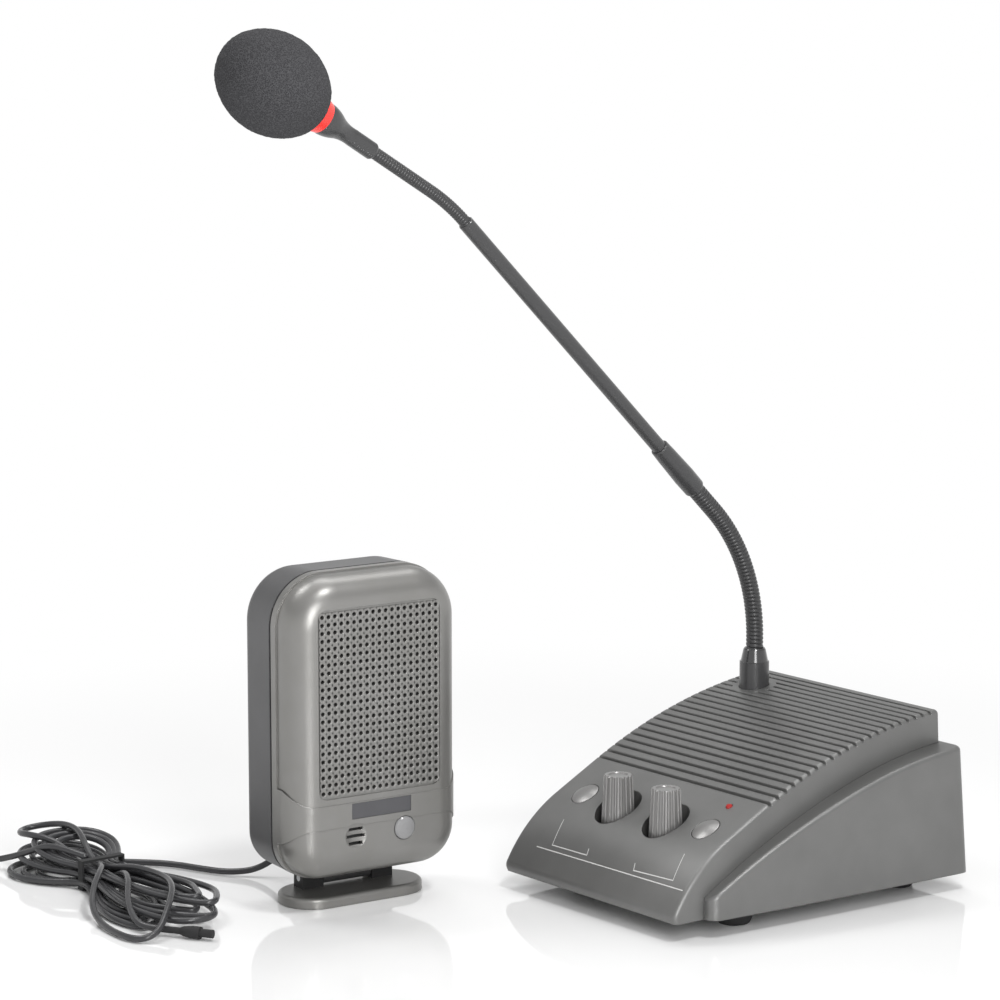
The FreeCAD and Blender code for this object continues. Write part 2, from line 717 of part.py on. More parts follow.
feature(
    "housing_screws",
    copies(pan_head_screw(v.wall + 11, SCREW_RADIUS * 2, SCREW_RADIUS), screw_spots(), v.foot_height),
)

# ---------------------------------------------------------------- console: board and controls
board_top = s.board_z + s.board_thick

board = body("main_board", at=at(0, 0, v.board_z))
board_outline = sketch(board)
rectangle(board_outline, 2 * BOARD_HALF, BOARD_REAR - BOARD_FRONT, 0, (BOARD_REAR + BOARD_FRONT) / 2)
pad(board, board_outline, s.board_thick)
for spot_x, spot_y in board_spots():
    screw_hole = sketch(board)
    circle(screw_hole, 1.6, spot_x, spot_y)
    pocket(board, screw_hole, s.board_thick, True)


KNOB_CHAMFER = 0.5


def fluted_knob(low, high, bore_top):
    """Tapered knob, open below for its shaft, with grip flutes that follow the taper up to its top."""
    outline = [
        (v.shaft_radius, low), (v.knob_foot_radius, low), (v.knob_top_radius, high - KNOB_CHAMFER),
        (v.knob_top_radius - KNOB_CHAMFER, high), (v.knob_top_radius - 2.2, high),
        (v.knob_top_radius - 2.6, high - 0.5), (0.0, high - 0.5), (0.0, bore_top), (v.shaft_radius, bore_top),
    ]
    corners = [Vector(radius, 0, height) for radius, height in outline]
    knob = spun_solid([line(start, end) for start, end in zip(corners, corners[1:] + corners[:1])])
    foot = Vector(v.knob_foot_radius, 0, low)
    way = Vector(v.knob_top_radius, 0, high - KNOB_CHAMFER) - foot
    start = foot - way * 0.1
    flute = Part.makeCylinder(v.flute_radius, way.Length * 1.3, start, way)
    for number in range(int(v.knob_flutes)):
        turned_flute = flute.copy()
        turned_flute.rotate(Vector(0, 0, 0), Vector(0, 0, 1), 360.0 * (number + 0.5) / v.knob_flutes)
        knob = knob.cut(turned_flute)
    return knob


def volume_control(side_name, sign):
    """Rotary control on the board, its shaft and the fluted knob on it, all on one upright axis."""
    place = at(sign * v.knob_x, v.knob_y, float(board_top))
    bush_top = 13.0
    shaft_bore = s.shaft_radius + s.fit
    turned(side_name + "_volume_control", [
        (shaft_bore, 0.0), (8.2, 0.0), (8.2, 8.0), (5.0, 8.0), (5.0, bush_top - 1.0), (shaft_bore, bush_top - 1.0),
    ], at=place)
    shaft_top = s.knob_top_z - board_top - 6.0
    turned(side_name + "_volume_shaft", [
        (0.0, 1.0), (s.shaft_radius, 1.0), (s.shaft_radius, shaft_top), (0.0, shaft_top),
    ], at=place)
    knob_low = s.well_floor_z - board_top + s.seam * 2
    knob_high = s.knob_top_z - board_top
    feature(side_name + "_volume_knob", fluted_knob(float(knob_low), float(knob_high), float(shaft_top)), at=place)


volume_control("left", -1)
volume_control("right", 1)

CAP_FOOT_Z = 34.0
FLANGE_TOP_Z = GUIDE_Z - v.seam
STEM_RADIUS = 2.5
STEM_FOOT_Z = 23.5
SWITCH_TOP_Z = 26.5
SWITCH_SIDE = 9.0


def speaker_button(side_name, sign):
    """Button cut square to the desk, with a shallow dome that follows the panel's slope."""
    x = sign * v.button_x
    centre_z = panel_z(v.button_y)
    normal = Vector(0, -math.sin(panel_slope), math.cos(panel_slope))
    dome_centre = Vector(x, v.button_y, centre_z) - normal * (v.button_dome - v.button_proud)
    column = cylinder(v.button_radius, x, v.button_y, CAP_FOOT_Z, FAR)
    cap = column.common(Part.makeSphere(v.button_dome, dome_centre))
    flange = cylinder(v.button_radius + 1.2, x, v.button_y, CAP_FOOT_Z, FLANGE_TOP_Z)
    stem = cylinder(STEM_RADIUS, x, v.button_y, STEM_FOOT_Z, CAP_FOOT_Z)
    feature(side_name + "_speaker_button", cap.fuse([flange, stem]).removeSplitter())
    low = float(board_top)
    half = SWITCH_SIDE / 2
    casing = box((x - half, v.button_y - half, low), (x + half, v.button_y + half, SWITCH_TOP_Z))
    bore = cylinder(STEM_RADIUS + v.seam, x, v.button_y, STEM_FOOT_Z - v.button_travel - 1.0, FAR)
    feature(side_name + "_speaker_switch", casing.cut(bore))


speaker_button("left", -1)
speaker_button("right", 1)

lamp_dome_z = panel_z(v.lamp_y)
turned("power_lamp", [
    (0.0, lamp_dome_z - 12.0), (s.lamp_radius, lamp_dome_z - 12.0), (s.lamp_radius, lamp_dome_z + 0.1),
    (s.lamp_radius * 0.7, lamp_dome_z + 0.9), (0.0, lamp_dome_z + 1.2),
], at=at(v.lamp_x, v.lamp_y, 0))
turned("lamp_spacer", [
    (0.0, board_top), (2.4, board_top), (2.4, lamp_dome_z - 12.0), (0.0, lamp_dome_z - 12.0),
], at=at(v.lamp_x, v.lamp_y, 0))


def jack(name):
    """Panel jack in the tray's rear wall, standing on a foot on the tray's floor."""
    x = SOCKET_X[name]
    radius = SOCKET_RADIUS[name]
    inner = v.tray_rear_y - 14.0
    outer = rear_wall_y(SOCKET_Z) + 0.6
    barrel = Part.makeCylinder(radius, outer - inner, Vector(x, inner, SOCKET_Z), Vector(0, 1, 0))
    shoe = box((x - radius - 1, inner - 2, v.foot_height + v.wall), (x + radius + 1, inner + 8, SOCKET_Z + radius))
    bore = Part.makeCylinder(radius * 0.62, 11, Vector(x, outer - 10, SOCKET_Z), Vector(0, 1, 0))
    feature(name, barrel.fuse(shoe).cut(bore).removeSplitter())


for socket_name in SOCKET_X:
    jack(socket_name)


# ---------------------------------------------------------------- console: loudspeaker
def loudspeaker(prefix, radius, depth, magnet_radius, group, place):
    """Pressed frame, paper cone and magnet on one axis; the frame's flange faces +Z at height 0."""
    flange = 1.2
    throat = radius * 0.3
    neck = magnet_radius * 0.9
    turned(prefix + "_frame", [
        (neck - 1.0, -depth), (neck, -depth), (radius - 4.0, -flange * 2), (radius, -flange), (radius, 0.0),
        (radius - 4.5, 0.0), (radius - 5.0, -flange * 2), (neck - 1.0, flange - depth),
    ], group, place)
    turned(prefix + "_cone", [
        (0.0, -depth * 0.75), (throat, -depth * 0.75), (radius - 5.3, -1.6), (radius - 4.6, -0.1),
        (radius - 5.8, -0.1), (radius - 6.2, -1.2), (throat, 0.6 - depth * 0.75), (0.0, 3.0 - depth * 0.75),
    ], group, place)
    turned(prefix + "_magnet", [
        (0.0, -depth - 8.0), (magnet_radius, -depth - 8.0), (magnet_radius, -depth), (throat * 0.8, -depth),
        (throat * 0.8, -depth * 0.78), (0.0, -depth * 0.78),
    ], group, place)


monitor_tilt = math.asin((crown_centre_y - v.monitor_y) / v.crown_radius)
flange_drop = v.monitor_radius**2 / (2 * v.crown_radius)
monitor_normal = Vector(0, -math.sin(monitor_tilt), math.cos(monitor_tilt))
monitor_on_crown = Vector(v.monitor_x, v.monitor_y, crown_z(v.monitor_y))
monitor_seat = monitor_on_crown - monitor_normal * (v.wall + flange_drop + v.seam)
loudspeaker("monitor", v.monitor_radius, 14.0, 14.0, CONSOLE,
            Placement(monitor_seat, Rotation(Vector(1, 0, 0), math.degrees(monitor_tilt))))

# ---------------------------------------------------------------- microphone neck
neck_foot = at(v.neck_x, v.neck_y, 0)
bore = s.flex_radius + s.fit
turned("neck_collar", [
    (0.0, 64.0), (s.stem_radius, 64.0), (s.stem_radius, s.collar_seat_z), (s.collar_radius, s.collar_seat_z),
    (s.collar_radius, s.collar_shoulder_z), (s.collar_radius * 0.93, s.collar_shoulder_z + 0.2),
    (s.collar_radius * 0.76, s.collar_top_z - 0.8), (s.collar_radius * 0.68, s.collar_top_z),
    (bore, s.collar_top_z), (bore, s.collar_top_z - s.socket_depth), (0.0, s.collar_top_z - s.socket_depth),
], at=neck_foot)

nut = body("neck_nut", at=at(v.neck_x, v.neck_y, COLLAR_BOSS_Z - v.nut_height))
nut_outline = sketch(nut)
nut_reach = s.nut_across / math.sqrt(3)
polygon(nut_outline, [
    (nut_reach, 0.0), (nut_reach / 2, s.nut_across / 2), (-nut_reach / 2, s.nut_across / 2),
    (-nut_reach, 0.0), (-nut_reach / 2, -s.nut_across / 2), (nut_reach / 2, -s.nut_across / 2),
])
circle(nut_outline, s.stem_radius + s.fit)
pad(nut, nut_outline, s.nut_height)


def lean(angle):
    """Unit vector leaning forward (-Y) from upright by an angle in degrees."""
    turn = math.radians(angle)
    return Vector(0, -math.sin(turn), math.cos(turn))


def swing(start, from_angle, to_angle, radius):
    """End and middle of a bend that leaves start leaning by one angle and ends leaning by the other."""
    centre = start + Vector(0, -math.cos(math.radians(from_angle)), -math.sin(math.radians(from_angle))) * radius

    def spot(angle):
        turn = math.radians(angle)
        return centre + Vector(0, math.cos(turn), math.sin(turn)) * radius

    return spot((from_angle + to_angle) / 2), spot(to_angle)


def pipe(edges, radius):
    """Round bar along a smooth path."""
    path = Part.Wire(edges)
    first = edges[0]
    start = first.valueAt(first.FirstParameter)
    direction = first.tangentAt(first.FirstParameter)
    section = Part.Wire(Part.makeCircle(radius, start, direction))
    return path.makePipeShell([section], True, False)


collar_top = Vector(v.neck_x, v.neck_y, v.collar_top_z)
flex_start = collar_top - Vector(0, 0, v.socket_depth)
bend_start = collar_top + Vector(0, 0, v.flex_rise)
bend_middle, bend_end = swing(bend_start, 0.0, v.neck_lean, v.flex_sweep)
tube_way = lean(v.neck_lean)
sleeve_start = bend_end + tube_way * v.flex_tail
sleeve_end = sleeve_start + tube_way * v.sleeve_length
tube_end = sleeve_end + tube_way * v.tube_length

feature("lower_gooseneck", pipe([
    line(flex_start, bend_start),
    Part.Arc(bend_start, bend_middle, bend_end).toShape(),
    line(bend_end, sleeve_start + tube_way * (v.socket_depth - v.seam)),
], v.flex_radius))


def along(point, angle):
    """Placement with its Z axis leaning forward by an angle."""
    return Placement(point, Rotation(Vector(1, 0, 0), angle))


tube_bore = s.tube_radius + s.fit
sleeve_split = s.sleeve_length / 2
turned("joint_sleeve", [
    (bore, 0.0), (s.sleeve_low_radius - 0.3, 0.0), (s.sleeve_low_radius, 0.6),
    (s.sleeve_low_radius + 0.15, s.sleeve_length * 0.3), (s.sleeve_top_radius + 0.3, s.sleeve_length * 0.8),
    (s.sleeve_top_radius, s.sleeve_length - 0.5), (s.sleeve_top_radius - 0.4, s.sleeve_length),
    (tube_bore, s.sleeve_length), (tube_bore, sleeve_split), (tube_bore - 1.2, sleeve_split),
    (tube_bore - 1.2, s.socket_depth), (bore, s.socket_depth),
], at=along(sleeve_start, v.neck_lean))

tube_low = -sleeve_split
fine_bore = s.fine_flex_radius + s.fit
turned("neck_tube", [
    (s.tube_radius - 1.0, tube_low), (s.tube_radius, tube_low), (s.tube_radius, s.tube_length - 0.4),
    (s.tube_radius - 0.3, s.tube_length), (fine_bore, s.tube_length),
    (fine_bore, s.tube_length - s.socket_depth), (s.tube_radius - 1.0, s.tube_length - s.socket_depth),
], at=along(sleeve_end, v.neck_lean))

fine_middle, fine_end = swing(tube_end, v.neck_lean, v.head_lean, v.fine_sweep)
head_way = lean(v.head_lean)
head_start = fine_end + head_way * v.fine_tail
feature("upper_gooseneck", pipe([
    line(tube_end - tube_way * v.socket_depth, tube_end),
    Part.Arc(tube_end, fine_middle, fine_end).toShape(),
    line(fine_end, head_start + head_way * v.socket_depth),
], v.fine_flex_radius))

# ---------------------------------------------------------------- microphone head
head_place = along(head_start, v.head_lean)
ring_z = v.head_sleeve_length + v.flare_length
spigot_radius = v.flare_radius - 1.6
spigot_end = ring_z + v.ring_length + 2.0


def microphone_housing():
    """Rear sleeve, fine seam, flare and a spigot that carries the light ring and the capsule."""
    flare_start = Vector(v.head_sleeve_radius, 0, v.head_sleeve_length)
    flare_turn = Vector((v.head_sleeve_radius + v.flare_radius) / 2, 0, v.head_sleeve_length + v.flare_length * 0.55)
    flare_end = Vector(v.flare_radius, 0, ring_z)
    flare_sweep = v.flare_length * 1.1
    inner = Vector(float(fine_bore), 0, 0)
    edges = [
        line(inner, Vector(v.head_sleeve_radius - 0.4, 0, 0)),
        line(Vector(v.head_sleeve_radius - 0.4, 0, 0), Vector(v.head_sleeve_radius, 0, 0.8)),
        line(Vector(v.head_sleeve_radius, 0, 0.8), flare_start),
        arc(flare_start, flare_turn, flare_sweep, Vector(-1, 0, 0)),
        arc(flare_turn, flare_end, flare_sweep, Vector(1, 0, 0)),
        line(flare_end, Vector(spigot_radius, 0, ring_z)),
        line(Vector(spigot_radius, 0, ring_z), Vector(spigot_radius, 0, spigot_end)),
        line(Vector(spigot_radius, 0, spigot_end), Vector(inner.x, 0, spigot_end)),
        line(Vector(inner.x, 0, spigot_end), inner),
    ]
    return spun_solid(edges)


feature("microphone_housing", microphone_housing(), at=head_place)

turned("light_ring", [
    (spigot_radius, ring_z), (s.flare_radius, ring_z), (s.ring_front_radius, ring_z + v.ring_length),
    (spigot_radius, ring_z + v.ring_length),
], at=head_place)

capsule_low = spigot_end
turned("microphone_capsule", [
    (0.0, capsule_low), (s.capsule_radius, capsule_low), (s.capsule_radius, capsule_low + 11.0),
    (s.capsule_radius - 1.2, capsule_low + 12.0), (0.0, capsule_low + 12.0),
], at=head_place)


def foam_windscreen():
    """Foam oval of tangent arcs, with a round mouth against the light ring and a pocket for the capsule."""
    mouth_z = ring_z + v.ring_length
    nose = v.foam_nose_radius
    nose_offset = v.foam_half_length - nose
    mouth_depth = nose_offset + math.sqrt(nose**2 - v.foam_mouth_radius**2)
    centre_z = mouth_z + mouth_depth
    # the side arc's centre lies on the oval's waist, where it meets both end arcs at a tangent
    side = (v.foam_radius**2 + nose_offset**2 - nose**2) / (2 * (v.foam_radius - nose))
    side_centre = Vector(v.foam_radius - side, 0, centre_z)
    joints = []
    for end in (1, -1):
        end_centre = Vector(0, 0, centre_z + end * nose_offset)
        outward = end_centre - side_centre
        outward.normalize()
        joints.append(side_centre + outward * side)
    front_pole = Vector(0, 0, centre_z + v.foam_half_length)
    mouth_edge = Vector(v.foam_mouth_radius, 0, mouth_z)
    # a plain round arc whose centre lies beyond the axis would turn into a surface that crosses itself
    waist = Part.Arc(joints[0], Vector(v.foam_radius, 0, centre_z), joints[1]).toBSpline().toShape()
    oval = spun_solid([
        arc(front_pole, joints[0], nose, Vector(1, 0, 1)),
        waist,
        arc(joints[1], mouth_edge, nose, Vector(1, 0, -1)),
        line(mouth_edge, Vector(0, 0, mouth_z)),
        line(Vector(0, 0, mouth_z), front_pole),
    ])
    pocket_radius = spigot_radius + 0.1
    return oval.cut(cylinder(pocket_radius, 0, 0, mouth_z - 1, capsule_low + 12.5))


feature("foam_windscreen", foam_windscreen(), at=head_place)

# ---------------------------------------------------------------- outside unit: shells


def unit_outline(inset, y):
    """The outside unit's outline seen from the front, drawn in by inset."""
    low = v.unit_low_corner - inset
    top = v.unit_corner - inset
    corners = [low, low, top, top]
    return rounded_outline(v.unit_half - inset, v.unit_foot_z + inset, v.unit_top_z - inset, corners, y)


def round_ring(block, y, radius):
    """Rounds the edges that lie in the upright plane at y."""
    ring = [e for e in block.Edges if e.BoundBox.YLength < 0.01 and abs(e.BoundBox.YMin - y) < 0.01]
    return block.makeFillet(radius, ring)


def front_block(inset, front, back):
    """Front shell's form: straight sides, and a soft shoulder round its face."""
    block = upright_slab(unit_outline(inset, front), back - front)
    return round_ring(block, front, v.shoulder_radius - inset)


def back_block(inset, front, back):
    """Rear shell's form: sides drawn in towards a rounded back."""
    taper = (back - front) * math.tan(math.radians(v.back_draft))
    block = Part.makeLoft([unit_outline(inset, front), unit_outline(inset + taper, back)], True, True)
    return round_ring(block, back, v.back_round - inset)


def pillow_window(low, top, corners):
    """Region of the front in which a pillow shows instead of the belt."""
    reach = v.unit_half + 1.0
    return upright_slab(rounded_outline(reach, low, top, corners, v.unit_front_y - 1),
                        v.pillow_back_y - v.unit_front_y + 1)


def grille_holes():
    """Four-sided holes in columns and rows, centred in the grille's field."""
    half = v.hole_across / 2
    depth = 3 * v.unit_wall
    middle_z = (v.field_low_z + v.field_top_z) / 2
    holes = []
    for column in range(int(v.hole_columns)):
        for row in range(int(v.hole_rows)):
            x = (column - (v.hole_columns - 1) / 2) * v.hole_pitch_x
            z = middle_z + (row - (v.hole_rows - 1) / 2) * v.hole_pitch_z
            points = [(x - half, z), (x, z - half), (x + half, z), (x, z + half), (x - half, z)]
            outline = Part.makePolygon([Vector(px, v.unit_front_y - 1, pz) for px, pz in points])
            holes.append(Part.Face(outline).extrude(Vector(0, depth, 0)))
    return Part.Compound(holes)


def front_bar(x, z, radius, low_y, high_y):
    return Part.makeCylinder(radius, high_y - low_y, Vector(x, low_y, z), Vector(0, 1, 0))


CALL_HOLE = v.call_radius + v.seam
INNER_FACE_Y = v.unit_front_y + v.field_sunk + v.unit_wall
call_face_y = v.unit_front_y + v.belt_proud / 2
CALL_PROUD = 1.6
CALL_FLANGE = 1.2
CALL_STEM = 2.4
SWITCH_GAP = 1.8
SWITCH_THICK = 1.8
call_inside = INNER_FACE_Y - call_face_y + v.seam
call_board_y = call_face_y + call_inside + CALL_FLANGE + CALL_STEM + SWITCH_GAP + SWITCH_THICK
CALL_POST_X = 22.0
CALL_BOARD_HALF = 24.5


def front_shell():
    proud = v.belt_proud
    rim = front_block(0.0, v.unit_front_y, v.rim_back_y)
    pillow = front_block(proud, v.unit_front_y + proud / 2, v.rim_back_y)
    far_corner = [v.pillow_corner, v.pillow_corner, 1.0, 1.0]
    upper = pillow_window(v.belt_top_z, v.unit_top_z + 5, far_corner)
    lower = pillow_window(v.unit_foot_z - 5, v.belt_low_z, far_corner[2:] + far_corner[:2])
    shell = rim.cut([upper, lower]).fuse(pillow)
    shell = shell.cut(front_block(v.unit_wall, INNER_FACE_Y, v.rim_back_y + 5))
    field = upright_slab(
        rounded_outline(v.field_half, v.field_low_z, v.field_top_z, [v.field_corner] * 4, v.unit_front_y - 1),
        1 + v.field_sunk + proud / 2,
    )
    tools = [field, grille_holes()]
    low = v.unit_front_y - 2
    tools.append(front_bar(v.call_x, v.call_z, CALL_HOLE, low, INNER_FACE_Y + 1))
    dish_radius = 2.5 * v.slot_dish
    dish_y = v.unit_front_y + proud / 2 - math.sqrt(dish_radius**2 - v.slot_dish**2)
    tools.append(Part.makeSphere(dish_radius, Vector(v.slot_x, dish_y, v.slot_z)))
    for number in (-1, 0, 1):
        z = v.slot_z + number * v.slot_pitch
        half = math.sqrt(v.slot_dish**2 - (number * v.slot_pitch) ** 2) - 0.8
        tools.append(box((v.slot_x - half, low, z - v.slot_height / 2),
                         (v.slot_x + half, INNER_FACE_Y + 1, z + v.slot_height / 2)))
    half_width = v.plate_width / 2 + v.fit
    half_height = v.plate_height / 2 + v.fit
    tools.append(box((v.plate_x - half_width, low, v.plate_z - half_height),
                     (v.plate_x + half_width, v.unit_front_y + v.plate_thick, v.plate_z + half_height)))
    bosses = []
    for x, z in shell_screw_spots():
        boss = front_bar(x, z, FRONT_BOSS, v.unit_front_y, v.rim_back_y)
        bosses.append(boss.common(pillow))
    for x in (-CALL_POST_X, CALL_POST_X):
        bosses.append(front_bar(x, v.call_z, 2.2, INNER_FACE_Y - 0.5, call_board_y))
    for x, z in shell_screw_spots():
        tools.append(front_bar(x, z, PILOT_RADIUS, v.rim_back_y - SCREW_BITE - 1, v.rim_back_y + 1))
    return shell.fuse(bosses).cut(tools)


def shell_screw_spots():
    inset = v.unit_corner / 2
    spots = []
    for x in (-1, 1):
        for z in (v.unit_foot_z + inset, v.unit_top_z - inset):
            spots.append((x * (v.unit_half - inset), z))
    return spots


FRONT_BOSS = 3.0
REAR_BOSS = 4.2
SCREW_BITE = 6.0
SCREW_SEAT_Y = 9.0
WELL_RADIUS = 2.8
feature("front_shell", front_shell(), UNIT)


def rear_shell():
    lap = 1.0
    outer = back_block(0.0, v.rear_shell_y, v.unit_back_y)
    # a neck, set in all round, bridges to the front shell and leaves the seam as a shadow line
    neck = upright_slab(unit_outline(lap, v.rim_back_y), v.rear_shell_y + 1 - v.rim_back_y)
    inner = v.unit_wall
    hollow = back_block(inner, v.rear_shell_y, v.unit_back_y - inner)
    mouth = upright_slab(unit_outline(inner, v.rim_back_y - 1), v.rear_shell_y + 1.001 - v.rim_back_y)
    shell = outer.fuse(neck).cut([hollow, mouth])
    bosses = []
    tools = []
    for x, z in shell_screw_spots():
        bosses.append(front_bar(x, z, REAR_BOSS, v.rim_back_y, v.unit_back_y).common(outer.fuse(neck)))
        tools.append(front_bar(x, z, SCREW_RADIUS + 0.1, v.rim_back_y - 1, v.unit_back_y + 1))
        tools.append(front_bar(x, z, WELL_RADIUS, SCREW_SEAT_Y, v.unit_back_y + 1))
    tools.append(front_bar(v.lead_exit_x, v.lead_exit_z, GLAND_RADIUS, v.unit_back_y - 2 * inner, v.unit_back_y + 1))
    shell = shell.fuse(bosses).cut(tools)
    # knuckle of the tilt hinge under the housing
    knuckle = Part.makeCylinder(v.knuckle_radius, 2 * v.tongue_half, Vector(-v.tongue_half, v.hinge_y, v.hinge_z),
                                Vector(1, 0, 0))
    web = box((-v.tongue_half, v.hinge_y - v.knuckle_radius * 0.8, v.hinge_z),
              (v.tongue_half, v.hinge_y + v.knuckle_radius * 0.8, v.unit_foot_z + inner * 0.6))
    pin_bore = Part.makeCylinder(v.pin_radius + v.fit, 4 * v.tongue_half,
                                 Vector(-2 * v.tongue_half, v.hinge_y, v.hinge_z), Vector(1, 0, 0))
    return shell.fuse([knuckle, web]).removeSplitter().cut(pin_bore)


GLAND_RADIUS = v.lead_radius + 1.3
feature("rear_shell", rear_shell(), UNIT)


def shell_screws():
    head = 1.2
    one = pan_head_screw(head + SCREW_SEAT_Y - v.rim_back_y + SCREW_BITE, SCREW_RADIUS * 2, SCREW_RADIUS)
    one.rotate(Vector(0, 0, 0), Vector(1, 0, 0), 90)
    placed = []
    for x, z in shell_screw_spots():
        screw = one.copy()
        screw.translate(Vector(x, SCREW_SEAT_Y + head, z))
        placed.append(screw)
    return Part.Compound(placed)


feature("shell_screws", shell_screws(), UNIT)

# ---------------------------------------------------------------- outside unit: inside
FELT_THICK = 0.8
felt_outline = rounded_outline(
    v.field_half - 0.8, v.field_low_z - 0.5, v.field_top_z + 0.5, [v.field_corner] * 4, INNER_FACE_Y
)
feature("grille_felt", upright_slab(felt_outline, FELT_THICK), UNIT)

driver_face = Placement(Vector(0, INNER_FACE_Y + FELT_THICK + 0.1, v.driver_z), Rotation(Vector(1, 0, 0), 90))
loudspeaker("driver", v.driver_radius, 15.0, 15.0, UNIT, driver_face)

facing = Rotation(Vector(1, 0, 0), 90)

turned("call_button", [
    (0.0, -call_inside - CALL_FLANGE - CALL_STEM), (1.8, -call_inside - CALL_FLANGE - CALL_STEM),
    (1.8, -call_inside - CALL_FLANGE), (s.call_radius + 1.2, -call_inside - CALL_FLANGE),
    (s.call_radius + 1.2, -call_inside), (s.call_radius, -call_inside), (s.call_radius, 0.3),
    (s.call_radius * 0.86, 0.95), (s.call_radius * 0.5, CALL_PROUD - 0.15), (0.0, CALL_PROUD),
], UNIT, Placement(Vector(v.call_x, call_face_y, v.call_z), facing))

feature("call_switch", box(
    (v.call_x - 3, call_board_y - SWITCH_THICK, v.call_z - 3), (v.call_x + 3, call_board_y, v.call_z + 3)
), UNIT)
feature("call_board", box(
    (-CALL_BOARD_HALF, call_board_y, v.call_z - 7.5),
    (CALL_BOARD_HALF, call_board_y + v.board_thick, v.call_z + 7.5),
), UNIT)

turned("outside_microphone", [(0.0, 0.0), (4.8, 0.0), (4.8, 5.0), (0.0, 5.0)],
       UNIT, Placement(Vector(v.slot_x, INNER_FACE_Y + 0.2 + 5.0, v.slot_z), facing))

name_plate = body("name_plate", UNIT, Placement(Vector(v.plate_x, v.unit_front_y + v.plate_thick, v.plate_z), facing))
plate_outline = sketch(name_plate)
rectangle(plate_outline, s.plate_width, s.plate_height)
pad(name_plate, plate_outline, s.plate_thick - 0.25)

# ---------------------------------------------------------------- outside unit: stand
stand_low = Vector(0, v.stand_y, 0)


def stand_foot():
    """Foot plate with rounded ends, and two knuckles that hold the hinge pin."""
    radius = v.stand_width / 2
    half = v.stand_length / 2 - radius
    left = stand_low - Vector(half, 0, 0)
    right = stand_low + Vector(half, 0, 0)
    wide = Vector(0, radius, 0)
    outline = Part.Wire([
        line(left - wide, right - wide),
        Part.Arc(right - wide, right + Vector(radius, 0, 0), right + wide).toShape(),
        line(right + wide, left + wide),
        Part.Arc(left + wide, left - Vector(radius, 0, 0), left - wide).toShape(),
    ])
    plate = Part.Face(outline).extrude(Vector(0, 0, v.stand_thick))
    rim = [e for e in plate.Edges if e.BoundBox.ZMin > v.stand_thick - 0.01]
    plate = plate.makeFillet(1.8, rim)
    ears = []
    for side in (-1, 1):
        near = v.tongue_half + v.seam
        low_x = near if side > 0 else -v.hinge_half
        length = v.hinge_half - near
        ears.append(Part.makeCylinder(v.knuckle_radius, length, Vector(low_x, v.hinge_y, v.hinge_z), Vector(1, 0, 0)))
        ears.append(box((low_x, v.hinge_y - v.knuckle_radius, 1.0), (low_x + length, v.hinge_y + v.knuckle_radius, v.hinge_z)))
    pin_bore = Part.makeCylinder(v.pin_radius + v.fit, 4 * v.hinge_half,
                                 Vector(-2 * v.hinge_half, v.hinge_y, v.hinge_z), Vector(1, 0, 0))
    return plate.fuse(ears).removeSplitter().cut(pin_bore)


feature("stand_foot", stand_foot(), UNIT)

turned("hinge_pin", [
    (0.0, -s.hinge_half), (s.pin_radius, -s.hinge_half), (s.pin_radius, s.hinge_half), (0.0, s.hinge_half),
], UNIT, Placement(Vector(0, v.hinge_y, v.hinge_z), Rotation(Vector(0, 1, 0), 90)))

turned("lead_gland", [
    (s.lead_radius, -v.unit_wall), (GLAND_RADIUS, -v.unit_wall), (GLAND_RADIUS, 0.0), (GLAND_RADIUS + 1.0, 0.0),
    (GLAND_RADIUS + 1.0, 1.4), (GLAND_RADIUS, 2.2), (s.lead_radius + 0.7, s.gland_length),
    (s.lead_radius, s.gland_length),
], UNIT, Placement(Vector(v.lead_exit_x, v.unit_back_y, v.lead_exit_z), Rotation(Vector(1, 0, 0), -90)))


# ---------------------------------------------------------------- lead
def unit_point(x, y, z):
    """Point of the outside unit's own frame in the set's frame."""
    return UNIT.multVec(Vector(x, y, z))


def rounded_route(points):
    """Straight runs joined by tangent arcs, each arc as large as its two runs allow."""
    edges = []
    start = points[0]
    radii = []
    for before, corner, after in zip(points, points[1:], points[2:]):
        into = corner - before
        out = after - corner
        turn = into.getAngle(out)
        radius = 0.45 * min(into.Length, out.Length) / math.tan(turn / 2)
        cut = radius * math.tan(turn / 2)
        into.normalize()
        out.normalize()
        begin = corner - into * cut
        end = corner + out * cut
        inward = out - into
        inward.normalize()
        middle = corner + inward * (radius / math.cos(turn / 2) - radius)
        edges.append(line(start, begin))
        edges.append(Part.Arc(begin, middle, end).toShape())
        start = end
        radii.append(round(radius, 1))
    edges.append(line(start, points[-1]))
    return edges, radii


def cord_tube(label, points):
    """A lead lying along its route."""
    edges, radii = rounded_route(points)
    solid = pipe(edges, v.lead_radius)
    length = sum(edge.Length for edge in edges)
    share = solid.Volume / (math.pi * v.lead_radius**2 * length)
    print(label, "length %.0f, volume share %.4f, bend radii" % (length, share), radii)
    feature(label, solid, Placement())


LIE = v.lead_radius + 0.1
